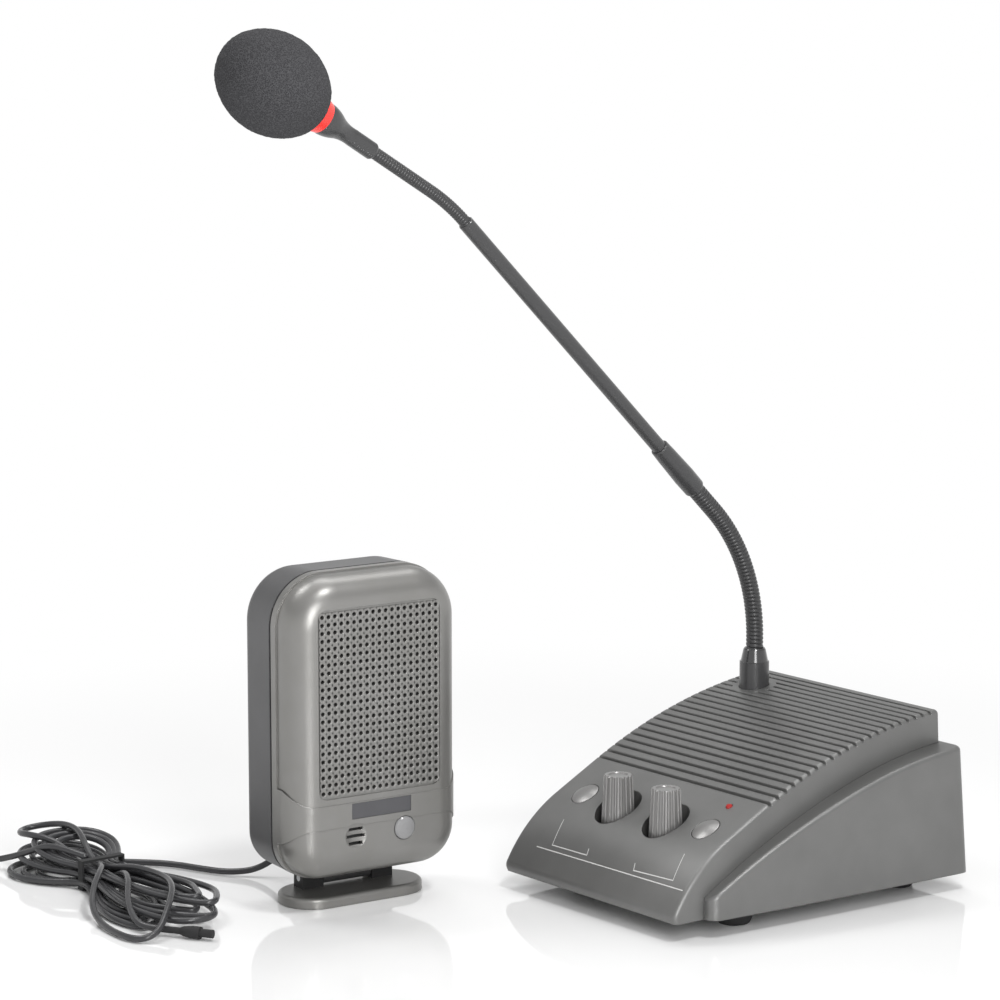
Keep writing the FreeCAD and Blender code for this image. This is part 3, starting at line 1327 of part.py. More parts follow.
# the lead runs straight along the gland and out of it before it drops to the desk
LEAD_STRAIGHT = 2.5 * v.gland_length
lead_route = [
    unit_point(v.lead_exit_x, v.unit_back_y + 0.5, v.lead_exit_z),
    unit_point(v.lead_exit_x, v.unit_back_y + LEAD_STRAIGHT, v.lead_exit_z),
    Vector(-115.0, -71.0, 13.0),
    Vector(-123.5, -80.0, 3.4),
    Vector(-133.0, -90.5, LIE),
    Vector(-147.0, -97.0, LIE),
    Vector(-163.0, -102.8, LIE),
    Vector(-175.0, -114.0, LIE),
    Vector(-180.5, -129.0, LIE + 1.0),
]
cord_tube("link_lead", lead_route)
side_route = [
    Vector(-198.0, -161.0, 6.0),
    Vector(-212.0, -169.0, 4.0),
    Vector(-226.0, -180.0, LIE),
    Vector(-238.0, -193.0, LIE),
]
cord_tube("side_lead", side_route)


PLUG_LEAD = 10.0
PLUG_RADIUS = 2.8
PIN_RADIUS = 1.9


def plug(label, tip_of_lead, way):
    """Moulded plug on the end of a lead, lying on the desk."""
    place = Placement(tip_of_lead, Rotation(Vector(0, 0, 1), way))
    turned(label, [
        (0.0, 0.0), (s.lead_radius, 0.0), (s.lead_radius, PLUG_LEAD), (s.lead_radius + 0.8, PLUG_LEAD + 2.0),
        (PLUG_RADIUS, PLUG_LEAD + 6.0), (PLUG_RADIUS, PLUG_LEAD + 10.0), (PIN_RADIUS, PLUG_LEAD + 10.0),
        (PIN_RADIUS, PLUG_LEAD + 16.0), (0.0, PLUG_LEAD + 16.0),
    ], Placement(), place)


side_way = side_route[-1] - side_route[-2]
plug("side_plug", side_route[-1] + Vector(0, 0, PLUG_RADIUS - v.lead_radius), Vector(side_way.x, side_way.y, 0))
PLUG_ROOT = Vector(-69.1, -171.2, PLUG_RADIUS + 0.1)
PLUG_WAY = Vector(0.85, 0.53, 0)
plug("link_plug", PLUG_ROOT, PLUG_WAY)

# ---------------------------------------------------------------- bundle of the lead's spare length
LOBES = [
    # centre x, centre y, half length, half width, height, turn
    (-186.0, -150.0, 27.0, 25.0, 20.0, 0.0),
    (-101.0, -163.0, 42.0, 20.0, 15.0, -12.0),
    (-97.0, -154.0, 37.0, 17.0, 12.0, 8.0),
]
WAIST = ((-168.0, -158.0, 1.2), (-140.0, -137.0, 13.0))
TIE_WALL = 1.0
TIE_X = (-156.5, -152.5)


def lead_hank():
    """Two flattened lobes of turns, drawn in at a waist; the leads come out of round pockets."""
    parts = [box(*WAIST)]
    for x, y, half_length, half_width, height, turn in LOBES:
        oval = Part.Ellipse(Vector(half_length, 0, 0), Vector(0, half_width, 0), Vector(0, 0, 0))
        lobe = Part.Face(Part.Wire([oval.toShape()])).extrude(Vector(0, 0, height))
        lobe.Placement = at(x, y, 0, angle=turn)
        parts.append(lobe)
    hank = parts[0].fuse(parts[1:])
    ways_out = [
        (lead_route[-1], lead_route[-2] - lead_route[-1]),
        (side_route[0], side_route[1] - side_route[0]),
        (PLUG_ROOT, PLUG_WAY),
    ]
    pockets = [Part.makeCylinder(v.lead_radius + v.fit, 40, inner, way) for inner, way in ways_out]
    return hank.cut(pockets)


def bundle_tie():
    low, high = WAIST
    outer = box((TIE_X[0], low[1] - TIE_WALL, low[2] - TIE_WALL), (TIE_X[1], high[1] + TIE_WALL, high[2] + TIE_WALL))
    inner = box((TIE_X[0] - 1, low[1], low[2]), (TIE_X[1] + 1, high[1], high[2]))
    return outer.cut(inner)


feature("lead_hank", lead_hank(), Placement())
feature("bundle_tie", bundle_tie(), Placement())


# ---------------------------------------------------------------- check and write
doc.recompute()


def failed(obj):
    return any(word in obj.State for word in ("Invalid", "Error"))


for obj in doc.Objects:
    if failed(obj):
        raise RuntimeError("%s failed: %s" % (obj.Label, obj.State))
for obj in pieces:
    if obj.Shape.isNull() or not obj.Shape.isValid():
        raise RuntimeError("%s has no valid shape" % obj.Label)
    if not obj.Shape.Solids or obj.Shape.Volume <= 0:
        raise RuntimeError("%s holds no solid" % obj.Label)

os.makedirs("parts", exist_ok=True)
for obj in pieces:
    obj.Shape.exportStep("parts/%s.step" % obj.Label)
    print("%-24s %d solids, volume %9.1f" % (obj.Label, len(obj.Shape.Solids), obj.Shape.Volume))
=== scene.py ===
# %% [markdown]
# # Teller window intercom
# The set has two halves. A desk console with a ribbed cover, two volume knobs and a gooseneck
# microphone stands on the clerk's side. An outside unit with a grille and a call button stands on
# the customer's side. The thin lead of the outside unit lies on the desk, most of it tied in a hank.
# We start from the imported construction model, give every piece a finish, and rebuild in finer mesh
# what the construction model keeps plain: goosenecks, foam, grille face and lead. The printed lines
# of the panel are added last.

# %% Load the frame
import math

import bmesh
import bpy
from mathutils import Matrix, Vector, noise


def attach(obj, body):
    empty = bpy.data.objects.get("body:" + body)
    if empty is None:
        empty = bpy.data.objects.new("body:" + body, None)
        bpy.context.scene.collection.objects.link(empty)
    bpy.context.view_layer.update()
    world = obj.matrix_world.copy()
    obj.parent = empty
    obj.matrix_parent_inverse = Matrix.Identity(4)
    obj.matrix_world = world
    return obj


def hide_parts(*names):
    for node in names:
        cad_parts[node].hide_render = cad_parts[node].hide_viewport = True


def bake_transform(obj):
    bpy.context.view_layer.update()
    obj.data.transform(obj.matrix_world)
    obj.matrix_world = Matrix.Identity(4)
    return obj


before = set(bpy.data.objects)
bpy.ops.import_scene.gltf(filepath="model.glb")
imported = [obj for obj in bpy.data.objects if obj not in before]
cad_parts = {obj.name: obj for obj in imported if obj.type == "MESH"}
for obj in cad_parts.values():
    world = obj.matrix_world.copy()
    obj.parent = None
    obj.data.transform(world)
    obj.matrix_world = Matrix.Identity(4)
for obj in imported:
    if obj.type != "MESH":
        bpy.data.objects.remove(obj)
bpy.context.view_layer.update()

# %% [markdown]
# ## Units
# The makers' drawings are in millimetres and Blender works in metres here, so `mm` turns one into
# the other. The console and the outside unit each have a frame of their own, as each stands on its
# own spot on the desk.

# %% Units and places
MM = 0.001
CONSOLE_AT = Vector((22.93, 80.4, 0.0))
UNIT_AT = Vector((-65.37, -65.4, 0.0))
UNIT_TURN = Matrix.Rotation(math.radians(85.0), 3, "Z")


def mm(x, y=None, z=None):
    """A length, or a point, given in millimetres."""
    return x * MM if y is None else Vector((x, y, z)) * MM


def on_console(x, y, z):
    """A point of the console's own frame, in millimetres, as a place in the scene."""
    return (CONSOLE_AT + Vector((x, y, z))) * MM


def on_unit(x, y, z):
    """A point of the outside unit's own frame, in millimetres, as a place in the scene."""
    return (UNIT_AT + UNIT_TURN @ Vector((x, y, z))) * MM


print("console at", on_console(0, 0, 0), "outside unit at", on_unit(0, 0, 0))

# %% [markdown]
# ## Camera
# A long lens from about 1.6 m keeps the set's proportions calm, as in a catalogue. The camera comes
# first, because everything else is judged through it.

# %% Camera
CAMERA_DIP = 9.1192
CAMERA_TURN = 51.5791
camera_data = bpy.data.cameras.new("catalogue_camera")
camera_data.lens = 129.34
camera_data.sensor_width = 36.0
camera_data.clip_start = 0.05
camera = bpy.data.objects.new("catalogue_camera", camera_data)
camera.location = mm(1229.43, -1009.0, 441.7)
camera.rotation_euler = (math.radians(90 - CAMERA_DIP), 0, math.radians(CAMERA_TURN))
bpy.context.collection.objects.link(camera)
bpy.context.scene.camera = camera
print("camera at", tuple(round(c, 3) for c in camera.location))

# %% [markdown]
# ## Small helpers for materials
# `linear` turns an sRGB hex colour into the linear values that shaders use. `add_node` adds one
# node with its settings, values and links. Pattern scales come from real sizes: `per` gives the
# texture scale at which one feature is that many millimetres across. The last four helpers take up
# what most materials share: a grain, and a roughness, a colour and a relief that follow it.


# %% Material helpers
def linear(hex_colour):
    """sRGB hex, such as '#6b6b69', as linear red, green, blue and alpha."""
    channels = [int(hex_colour[i:i + 2], 16) / 255 for i in (1, 3, 5)]
    return tuple(c / 12.92 if c <= 0.04045 else ((c + 0.055) / 1.055) ** 2.4 for c in channels) + (1.0,)


def per(millimetres):
    """Texture scale at which one feature is that many millimetres across."""
    return 1.0 / (millimetres * MM)


def add_node(tree, kind, values=None, links=None, **settings):
    """A new node with settings of its own, values on its sockets and links into them."""
    node = tree.nodes.new(kind)
    for name, value in settings.items():
        setattr(node, name, value)
    for socket, value in (values or {}).items():
        node.inputs[socket].default_value = value
    for socket, output in (links or {}).items():
        tree.links.new(output, node.inputs[socket])
    return node


def start_material(name, **shader_values):
    """A new material with its tree, its shader and object coordinates."""
    material = bpy.data.materials.new(name)
    material.use_nodes = True
    tree = material.node_tree
    shader = tree.nodes["Principled BSDF"]
    for socket, value in shader_values.items():
        shader.inputs[socket.replace("_", " ")].default_value = value
    place = add_node(tree, "ShaderNodeTexCoord").outputs["Object"]
    return material, tree, shader, place


def grains(tree, place, size, detail=2.0, rough=0.5):
    """A noise whose features are that many millimetres across."""
    texture = add_node(tree, "ShaderNodeTexNoise", {"Scale": per(size), "Detail": detail, "Roughness": rough},
                       {"Vector": place})
    return texture.outputs["Fac"]


def vary_roughness(tree, shader, factor, low, high):
    """Let the roughness follow a texture, from low to high."""
    gloss = add_node(tree, "ShaderNodeMapRange", {"To Min": low, "To Max": high}, {"Value": factor})
    tree.links.new(gloss.outputs["Result"], shader.inputs["Roughness"])


def vary_colour(tree, shader, factor, dark, light, start=0.0, end=1.0):
    """Let the colour follow a texture; it is dark up to start and light from end on."""
    ramp = add_node(tree, "ShaderNodeValToRGB", links={"Fac": factor})
    first, last = ramp.color_ramp.elements
    first.position, last.position = start, end
    first.color, last.color = linear(dark), linear(light)
    tree.links.new(ramp.outputs["Color"], shader.inputs["Base Color"])


def add_relief(tree, shader, height, strength, depth, normal=None):
    """Let a texture raise the surface; depth is in millimetres."""
    links = {"Height": height}
    if normal is not None:
        links["Normal"] = normal
    bump = add_node(tree, "ShaderNodeBump", {"Strength": strength, "Distance": depth * MM}, links)
    tree.links.new(bump.outputs["Normal"], shader.inputs["Normal"])


print("mid grey", linear("#808080")[:3])

# %% [markdown]
# ## Moulded plastics
# Housings like these are injection-moulded ABS. The mould is spark-eroded, which leaves an even,
# very fine grain that softens highlights. The grain is really about 0.1 mm; it is drawn 0.4 mm
# across so that it shows. A faint cloud in the colour stands for pigment and handling. Most of the
# greys hold a metallic pigment, so they mirror their surroundings softly in their own colour.


# %% Moulded ABS
def moulded_abs(name, colour, shade, roughness, grain=0.4, depth=0.048, sheen=0.5, edge=0.35, flake=0.0):
    """ABS with a spark-eroded grain. Colour and shade are the ends of its clouding, edge is the
    rounding of its sharp edges in millimetres, and flake is the share of metallic pigment."""
    material, tree, shader, place = start_material(
        name, Roughness=roughness, IOR=1.52, Metallic=flake, Specular_IOR_Level=sheen)
    cloud = grains(tree, place, 38, detail=3.0, rough=0.6)
    vary_colour(tree, shader, cloud, shade, colour, start=0.32, end=0.68)
    fine = grains(tree, place, grain)
    vary_roughness(tree, shader, fine, roughness - 0.05, roughness + 0.06)
    soft_edge = add_node(tree, "ShaderNodeBevel", {"Radius": edge * MM}, samples=4)
    add_relief(tree, shader, fine, 0.35, depth, normal=soft_edge.outputs["Normal"])
    return material


abs_console = moulded_abs("abs_warm_grey", "#7a7a79", "#727271", 0.38, edge=0.8, flake=0.5)
abs_dark = moulded_abs("abs_dark_grey", "#626263", "#5b5b5c", 0.4, edge=0.6, flake=0.45)
abs_front = moulded_abs("abs_light_grey_satin", "#8f8e8c", "#878683", 0.34, depth=0.032, flake=0.6)
abs_control = moulded_abs(
    "abs_satin_grey", "#929190", "#8a8988", 0.3, grain=0.8, depth=0.008, edge=0.12, flake=0.5)
abs_call = moulded_abs("abs_polished_grey", "#8f8f90", "#868687", 0.2, depth=0.008, sheen=0.7)
abs_plate = moulded_abs("abs_plate_grey", "#525255", "#4c4c4f", 0.5)
nylon = moulded_abs("nylon_black", "#1d1d1e", "#171718", 0.55)
print("moulded plastics:", [m.name for m in bpy.data.materials if m.name.startswith("abs")])

# %% [markdown]
# ## Metals and enamel
# Screws and shafts are plain turned steel. The collar, the sleeve and the tube are steel with a
# black stoved enamel: a coloured, fairly glossy skin with a slight orange peel. The cone of the
# collar is polished. The two goosenecks are wound steel with a thinner, satin black coat.

# %% Metals and enamel
steel, tree, shader, place = start_material(
    "turned_steel", Metallic=1.0, Roughness=0.32, Base_Color=linear("#b8b9ba"))
vary_roughness(tree, shader, grains(tree, place, 0.5, detail=3.0), 0.25, 0.42)


def black_enamel(name, colour, roughness, coat, peel=1.6):
    """Black coat on steel, with the slight orange peel of sprayed and baked enamel."""
    material, tree, shader, place = start_material(
        name, Roughness=roughness, IOR=1.5, Base_Color=linear(colour), Coat_Weight=coat, Coat_Roughness=0.12)
    skin = grains(tree, place, peel)
    vary_roughness(tree, shader, skin, roughness - 0.04, roughness + 0.06)
    add_relief(tree, shader, skin, 0.05, 0.02)
    return material


enamel_gloss = black_enamel("stoved_enamel_black", "#3a3a3b", 0.34, 0.3)
enamel_polished = black_enamel("polished_enamel_black", "#333334", 0.16, 0.6)
enamel_satin = black_enamel("satin_black_on_wound_steel", "#343435", 0.36, 0.15, peel=0.8)
print("metals:", steel.name, enamel_gloss.name, enamel_polished.name, enamel_satin.name)

# %% [markdown]
# ## Rubber, lead sheath, foam and the rest
# The lead has a flexible PVC sheath, dark and a little glossy. Foam is open-celled polyurethane: its
# cells catch light as a fine salt-and-pepper grain, and that grain is painted into its colour as
# painted shade in the pits and painted light on the cell walls. The light ring is dyed acrylic; it is
# no lamp, and a faint emission paints the even glow of light spreading inside it.

# %% Soft and small materials
rubber, tree, shader, place = start_material(
    "moulded_rubber", Roughness=0.75, IOR=1.5, Base_Color=linear("#262627"))
add_relief(tree, shader, grains(tree, place, 0.6, detail=4.0), 0.3, 0.04)

sheath, tree, shader, place = start_material("pvc_sheath_black", Roughness=0.27, IOR=1.53)
vary_colour(tree, shader, grains(tree, place, 9), "#333335", "#434345")

foam_material, tree, shader, place = start_material(
    "open_cell_foam", Roughness=0.95, IOR=1.45, Specular_IOR_Level=0.2)
cells = add_node(tree, "ShaderNodeTexVoronoi", {"Scale": per(0.6)}, {"Vector": place}).outputs["Distance"]
# painted shade and light: the colour is darker in the pits of the cells and lighter on their walls
vary_colour(tree, shader, cells, "#28282a", "#4d4d4f", end=0.75)
add_relief(tree, shader, cells, 0.9, 0.25)

RING_RED = linear("#f0332c")
# painted glow: the ring is no lamp, and its emission stands in for light spreading inside the acrylic
acrylic, tree, shader, place = start_material(
    "dyed_acrylic_red_painted_glow", Roughness=0.25, IOR=1.49, Base_Color=RING_RED, Emission_Color=RING_RED,
    Emission_Strength=0.35)
vary_roughness(tree, shader, grains(tree, place, 2.0), 0.2, 0.3)


def plain_finish(name, colour, roughness, grain):
    """A quiet surface with a little grain, for boards, felt, paper, ink and the lamp."""
    material, tree, shader, place = start_material(name, Roughness=roughness, Base_Color=linear(colour))
    add_relief(tree, shader, grains(tree, place, grain, detail=3.0), 0.4, 0.03)
    return material


felt = plain_finish("black_felt", "#101011", 0.95, 0.5)
paper = plain_finish("pressed_paper", "#1b1b1c", 0.85, 0.7)
laminate = plain_finish("board_laminate_green", "#1f4a33", 0.4, 1.0)
ferrite = plain_finish("bare_ferrite", "#3a3a3b", 0.6, 0.8)
ink = plain_finish("white_ink", "#cfcfcd", 0.5, 0.4)
lamp_lens = plain_finish("lamp_lens_red", "#a82a28", 0.2, 1.5)
print("materials so far:", len(bpy.data.materials))

# %% [markdown]
# ## Dressing the construction model
# Each node of the construction model keeps its shape and gets the finish of the real piece. Pieces
# inside the housings are dressed too, because a moving view may look through a gap at them. The
# collar has a polished cone. The stem of the foot is made black as painted shade for the dark gap
# under the outside unit.

# %% Finishes for the nodes
finishes = [
    (abs_console, ["top_cover", "base_tray"]),
    (abs_dark, ["rear_shell"]),
    (abs_front, ["front_shell", "stand_foot"]),
    (abs_control, ["left_volume_knob", "right_volume_knob", "left_speaker_button", "right_speaker_button"]),
    (abs_plate, ["name_plate"]),
    (abs_call, ["call_button"]),
    (nylon, ["left_volume_control", "right_volume_control", "left_speaker_switch", "right_speaker_switch",
             "lamp_spacer", "power_socket", "line_socket", "microphone_capsule", "call_switch",
             "outside_microphone"]),
    (rubber, ["rubber_feet", "lead_gland", "link_plug", "side_plug", "bundle_tie"]),
    (steel, ["housing_screws", "shell_screws", "left_volume_shaft", "right_volume_shaft", "neck_nut",
             "hinge_pin", "monitor_frame", "driver_frame"]),
    (enamel_gloss, ["neck_collar", "joint_sleeve", "neck_tube", "microphone_housing"]),
    (acrylic, ["light_ring"]),
    (felt, ["grille_felt"]),
    (paper, ["monitor_cone", "driver_cone"]),
    (ferrite, ["monitor_magnet", "driver_magnet"]),
    (laminate, ["main_board", "call_board"]),
    (lamp_lens, ["power_lamp"]),
]
for finish, names in finishes:
    for name in names:
        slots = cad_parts[name].data.materials
        slots.clear()
        slots.append(finish)


def paint_band(name, material, low, high=math.inf):
    """Give the faces of a node between two heights, in millimetres, a second finish or a painted shade."""
    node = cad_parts[name]
    node.data.materials.append(material)
    for polygon in node.data.polygons:
        centre = node.matrix_world @ polygon.center
        polygon.material_index = 1 if mm(low) < centre.z < mm(high) else 0


paint_band("neck_collar", enamel_polished, 92.4, 98.8)
# painted shade: the stem of the foot above 5.2 mm is made black for the shade in the gap under the unit
paint_band("stand_foot", nylon, 5.2)
print("dressed nodes:", sum(len(names) for _, names in finishes))

# %% [markdown]
# ## Making meshes in code
# `new_piece` makes an object from points and faces. `sweep` runs a round section of changing
# radius along a line of points, turning the section with the line so that it never twists. `spun`
# turns a profile about an axis. They are used for everything that is long or round.


# %% Mesh helpers
def new_piece(name, points, faces, material):
    """A smooth object made of points and faces, in one material."""
    mesh = bpy.data.meshes.new(name)
    mesh.from_pydata([tuple(p) for p in points], [], faces)
    mesh.materials.append(material)
    mesh.validate()
    for polygon in mesh.polygons:
        polygon.use_smooth = True
    mesh.update()
    piece = bpy.data.objects.new(name, mesh)
    bpy.context.collection.objects.link(piece)
    return piece


def sweep(line, radii, sides):
    """Points and faces of a closed round bar along a line; radii holds one radius per point, or one
    function of the angle per point."""
    points = []
    faces = []
    side = None
    for number, spot in enumerate(line):
        before = line[max(number - 1, 0)]
        after = line[min(number + 1, len(line) - 1)]
        way = (after - before).normalized()
        if side is None:
            side = way.orthogonal().normalized()
        side = (side - way * side.dot(way)).normalized()
        other = way.cross(side)
        for step in range(sides):
            angle = 2 * math.pi * step / sides
            radius = radii[number](angle) if callable(radii[number]) else radii[number]
            points.append(spot + (side * math.cos(angle) + other * math.sin(angle)) * radius)
    for number in range(len(line) - 1):
        for step in range(sides):
            a = number * sides + step
            b = number * sides + (step + 1) % sides
            faces.append((a, b, b + sides, a + sides))
    last = (len(line) - 1) * sides
    faces.append(tuple(reversed(range(sides))))
    faces.append(tuple(range(last, last + sides)))
    return points, faces


def spun(profile, place, sides):
    """Points and faces of a solid turned about the Z axis of a placement; the profile is a list of
    (radius, height) from pole to pole, in millimetres."""
    points = []
    faces = []
    rings = []
    for radius, height in profile:
        if radius < 1e-6:
            rings.append([len(points)])
            points.append(place @ mm(0, 0, height))
            continue
        start = len(points)
        rings.append(list(range(start, start + sides)))
        for step in range(sides):
            angle = 2 * math.pi * step / sides
            points.append(place @ mm(radius * math.cos(angle), radius * math.sin(angle), height))
    for low, high in zip(rings, rings[1:]):
        for step in range(sides):
            following = (step + 1) % sides
            if len(low) == 1:
                faces.append((low[0], high[following], high[step]))
            elif len(high) == 1:
                faces.append((low[step], low[following], high[0]))
            else:
                faces.append((low[step], low[following], high[following], high[step]))
    return points, faces


def line_length(line):
    """Length of a line of points."""
    return sum((b - a).length for a, b in zip(line, line[1:]))


print("helpers ready")

# %% [markdown]
# ## The line of the microphone neck
# The neck starts upright in its collar, bends forward on the lower gooseneck, runs straight through
# a sleeve and a rigid tube, and bends once more before the head. `NeckLine` walks along that line
# and remembers where it is and which way it points. Each gooseneck reaches a little way into its
# neighbours.


# %% Neck line
def forward(lean):
    """Unit vector that leans forward from upright by an angle in degrees."""
    turn = math.radians(lean)
    return Vector((0, -math.sin(turn), math.cos(turn)))


class NeckLine:
    """A line in the plane of the neck, as points about STEP millimetres apart."""
    STEP = 0.15

    def __init__(self, start, lean=0.0):
        self.points = [start.copy()]
        self.lean = lean

    def run(self, length):
        """Go straight on for a length in millimetres."""
        start = self.points[-1]
        count = max(1, round(length / self.STEP))
        way = forward(self.lean)
        self.points += [start + way * (length * MM * (i + 1) / count) for i in range(count)]

    def bend(self, lean, radius):
        """Bend forward to a new lean, on a radius in millimetres."""
        start = self.points[-1]
        first = math.radians(self.lean)
        last = math.radians(lean)
        centre = start - Vector((0, math.cos(first), math.sin(first))) * radius * MM
        count = max(1, round(abs(last - first) * radius / self.STEP))
        for i in range(count):
            turn = first + (last - first) * (i + 1) / count
            self.points.append(centre + Vector((0, math.cos(turn), math.sin(turn))) * radius * MM)
        self.lean = lean


COLLAR_TOP = on_console(-41.2, 56.0, 99.0)
SOCKET = 8.0
END_PLAY = 0.3
LOWER_RISE = 5.0
LOWER_RADIUS = 89.5
LOWER_TAIL = 16.8
NECK_LEAN = 45.9
SLEEVE_LENGTH = 31.0
TUBE_LENGTH = 158.4
UPPER_RADIUS = 102.0
UPPER_TAIL = 36.0
HEAD_LEAN = 59.5

lower_line = NeckLine(COLLAR_TOP - mm(0, 0, SOCKET))
lower_line.run(SOCKET + LOWER_RISE)
bend_start = lower_line.points[-1]
lower_line.bend(NECK_LEAN, LOWER_RADIUS)
lower_line.run(LOWER_TAIL)
sleeve_start = lower_line.points[-1]
lower_line.run(SOCKET - END_PLAY)

tube_end = sleeve_start + forward(NECK_LEAN) * mm(SLEEVE_LENGTH + TUBE_LENGTH)
upper_line = NeckLine(tube_end - forward(NECK_LEAN) * mm(SOCKET), NECK_LEAN)
upper_line.run(SOCKET)
upper_line.bend(HEAD_LEAN, UPPER_RADIUS)
upper_line.run(UPPER_TAIL)
head_start = upper_line.points[-1]
upper_line.run(SOCKET)
print("sleeve starts at", sleeve_start, "head starts at", head_start)

# %% [markdown]
# ## Goosenecks
# A gooseneck is a tight steel spiral, so its side shows a row of small rounded ribs that climb like
# a screw thread. A swept bar whose radius follows the spiral gives that. The ribs are 1.95 mm apart
# on the lower one and 1.5 mm on the slim one.


# %% Goosenecks
def ribbed(line, radius, pitch, depth):
    """One radius function per point: a rounded rib that winds round the bar."""
    functions = []
    travelled = 0.0
    for number, spot in enumerate(line):
        if number:
            travelled += (spot - line[number - 1]).length / MM

        def at_angle(angle, along=travelled):
            phase = (along / pitch + angle / (2 * math.pi)) % 1.0
            return (radius - depth * (1 - math.sin(math.pi * phase)) ** 1.5) * MM

        functions.append(at_angle)
    return functions


goosenecks = [
    # name, line, radius, pitch, depth of the ribs, node, bodies below and above, start and end of the bend
    ("lower_coil", lower_line.points, 4.15, 1.95, 0.4, "lower_gooseneck", "console", "neck",
     bend_start, sleeve_start),
    ("upper_coil", upper_line.points, 2.85, 1.5, 0.3, "upper_gooseneck", "neck", "head",
     tube_end, head_start),
]
for name, line, radius, pitch, depth, node, low_body, high_body, start, end in goosenecks:
    points, faces = sweep(line, ribbed(line, radius, pitch, depth), sides=24)
    coil = new_piece(name, points, faces, enamel_satin)
    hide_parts(node)
    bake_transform(coil)
    print(name, "ribs:", round(line_length(line) / mm(pitch)), "points:", len(points))

# %% [markdown]
# ## Foam windscreen
# The windscreen is cut from open-cell foam. Its outline is an oval of three tangent arcs, with a
# pocket for the head at its mouth. The skin is lifted and sunk a little by two noise patterns, so
# that its edge against the light isn't a perfect curve.

# %% Foam windscreen
REAR_SLEEVE = 13.0
FLARE_LENGTH = 17.7
RING_LENGTH = 4.6
FOAM_MOUTH = REAR_SLEEVE + FLARE_LENGTH + RING_LENGTH
FOAM_RADIUS = 22.0
FOAM_HALF = 27.0
NOSE = 19.0
MOUTH_RADIUS = 8.8
POCKET_RADIUS = 6.2
POCKET_DEPTH = 14.0
FOAM_RINGS = 110
# size across and height of each noise pattern of the skin
LUMPS = (1.6, 0.22)
PORES = (0.7, 0.12)
SKIN_SINK = 0.15
nose_offset = FOAM_HALF - NOSE
foam_centre = FOAM_MOUTH + nose_offset + math.sqrt(NOSE**2 - MOUTH_RADIUS**2)
side_arc = (FOAM_RADIUS**2 + nose_offset**2 - NOSE**2) / (2 * (FOAM_RADIUS - NOSE))


def foam_radius_at(height):
    """Radius of the foam at a height above its middle."""
    reach = nose_offset * side_arc / (side_arc - NOSE)
    if abs(height) > reach:
        return math.sqrt(max(NOSE**2 - (abs(height) - nose_offset) ** 2, 0.0))
    return FOAM_RADIUS - side_arc + math.sqrt(side_arc**2 - height**2)


foam_profile = [
    (0.0, FOAM_MOUTH + POCKET_DEPTH),
    (POCKET_RADIUS, FOAM_MOUTH + POCKET_DEPTH),
    (POCKET_RADIUS, FOAM_MOUTH + 0.05),
]
low_turn = -math.asin(min(1.0, (foam_centre - FOAM_MOUTH) / FOAM_HALF))
for number in range(FOAM_RINGS + 1):
    turn = low_turn + (math.pi / 2 - low_turn) * number / FOAM_RINGS
    height = FOAM_HALF * math.sin(turn)
    radius = 0.0 if number == FOAM_RINGS else foam_radius_at(height)
    foam_profile.append((radius, foam_centre + height))
head_place = Matrix.Translation(head_start) @ Matrix.Rotation(math.radians(HEAD_LEAN), 4, "X")
points, faces = spun(foam_profile, head_place, sides=150)
middle = head_place @ mm(0, 0, foam_centre)
rough_points = []
for point in points:
    outward = (point - middle).normalized()
    lift = sum(noise.noise(point * per(size)) * height for size, height in (LUMPS, PORES))
    rough_points.append(point + outward * (lift - SKIN_SINK) * MM)
foam = new_piece("foam_cover", rough_points, faces, foam_material)
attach(foam, "head")
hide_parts("foam_windscreen")
print("foam points:", len(points))

# %% [markdown]
# ## Grille face
# The grille is moulded with the front shell: rows of small round holes, each with a softly rolled
# lip. The construction model keeps its holes four-sided; a thin face with round holes goes over
# them. Each hole is a ring of points inside its own four-sided cell, and neighbouring cells share
# their corners.

# %% Grille face
COLUMNS, ROWS = 19, 23
PITCH_X, PITCH_Z = 3.32, 3.66
HOLE_SIDES = 16
HOLE_RADIUS = 0.92
LIP = 0.22
FIELD_FLOOR_Y = -21.0 + 0.7
FACE_Y = FIELD_FLOOR_Y - 0.3
FIELD_LOW, FIELD_TOP = 53.6, 140.0
HOLE_RINGS = [
    # how far outside the hole, and at what depth; None is the border of the hole's cell
    (None, FACE_Y),
    (LIP, FACE_Y),
    (LIP * 0.3, FACE_Y + 0.07),
    (0.0, FACE_Y + 0.2),
    (0.0, FIELD_FLOOR_Y + 0.5),
]
grille = bmesh.new()


def hole_ring(x, z, outside, y):
    """New points of one ring round the hole at (x, z)."""
    ring = []
    for step in range(HOLE_SIDES):
        angle = 2 * math.pi * (step + 0.5) / HOLE_SIDES
        across, up = math.cos(angle), math.sin(angle)
        if outside is None:
            reach = min(PITCH_X / 2 / abs(across), PITCH_Z / 2 / abs(up))
        else:
            reach = HOLE_RADIUS + outside
        ring.append(grille.verts.new(on_unit(x + across * reach, y, z + up * reach)))
    return ring


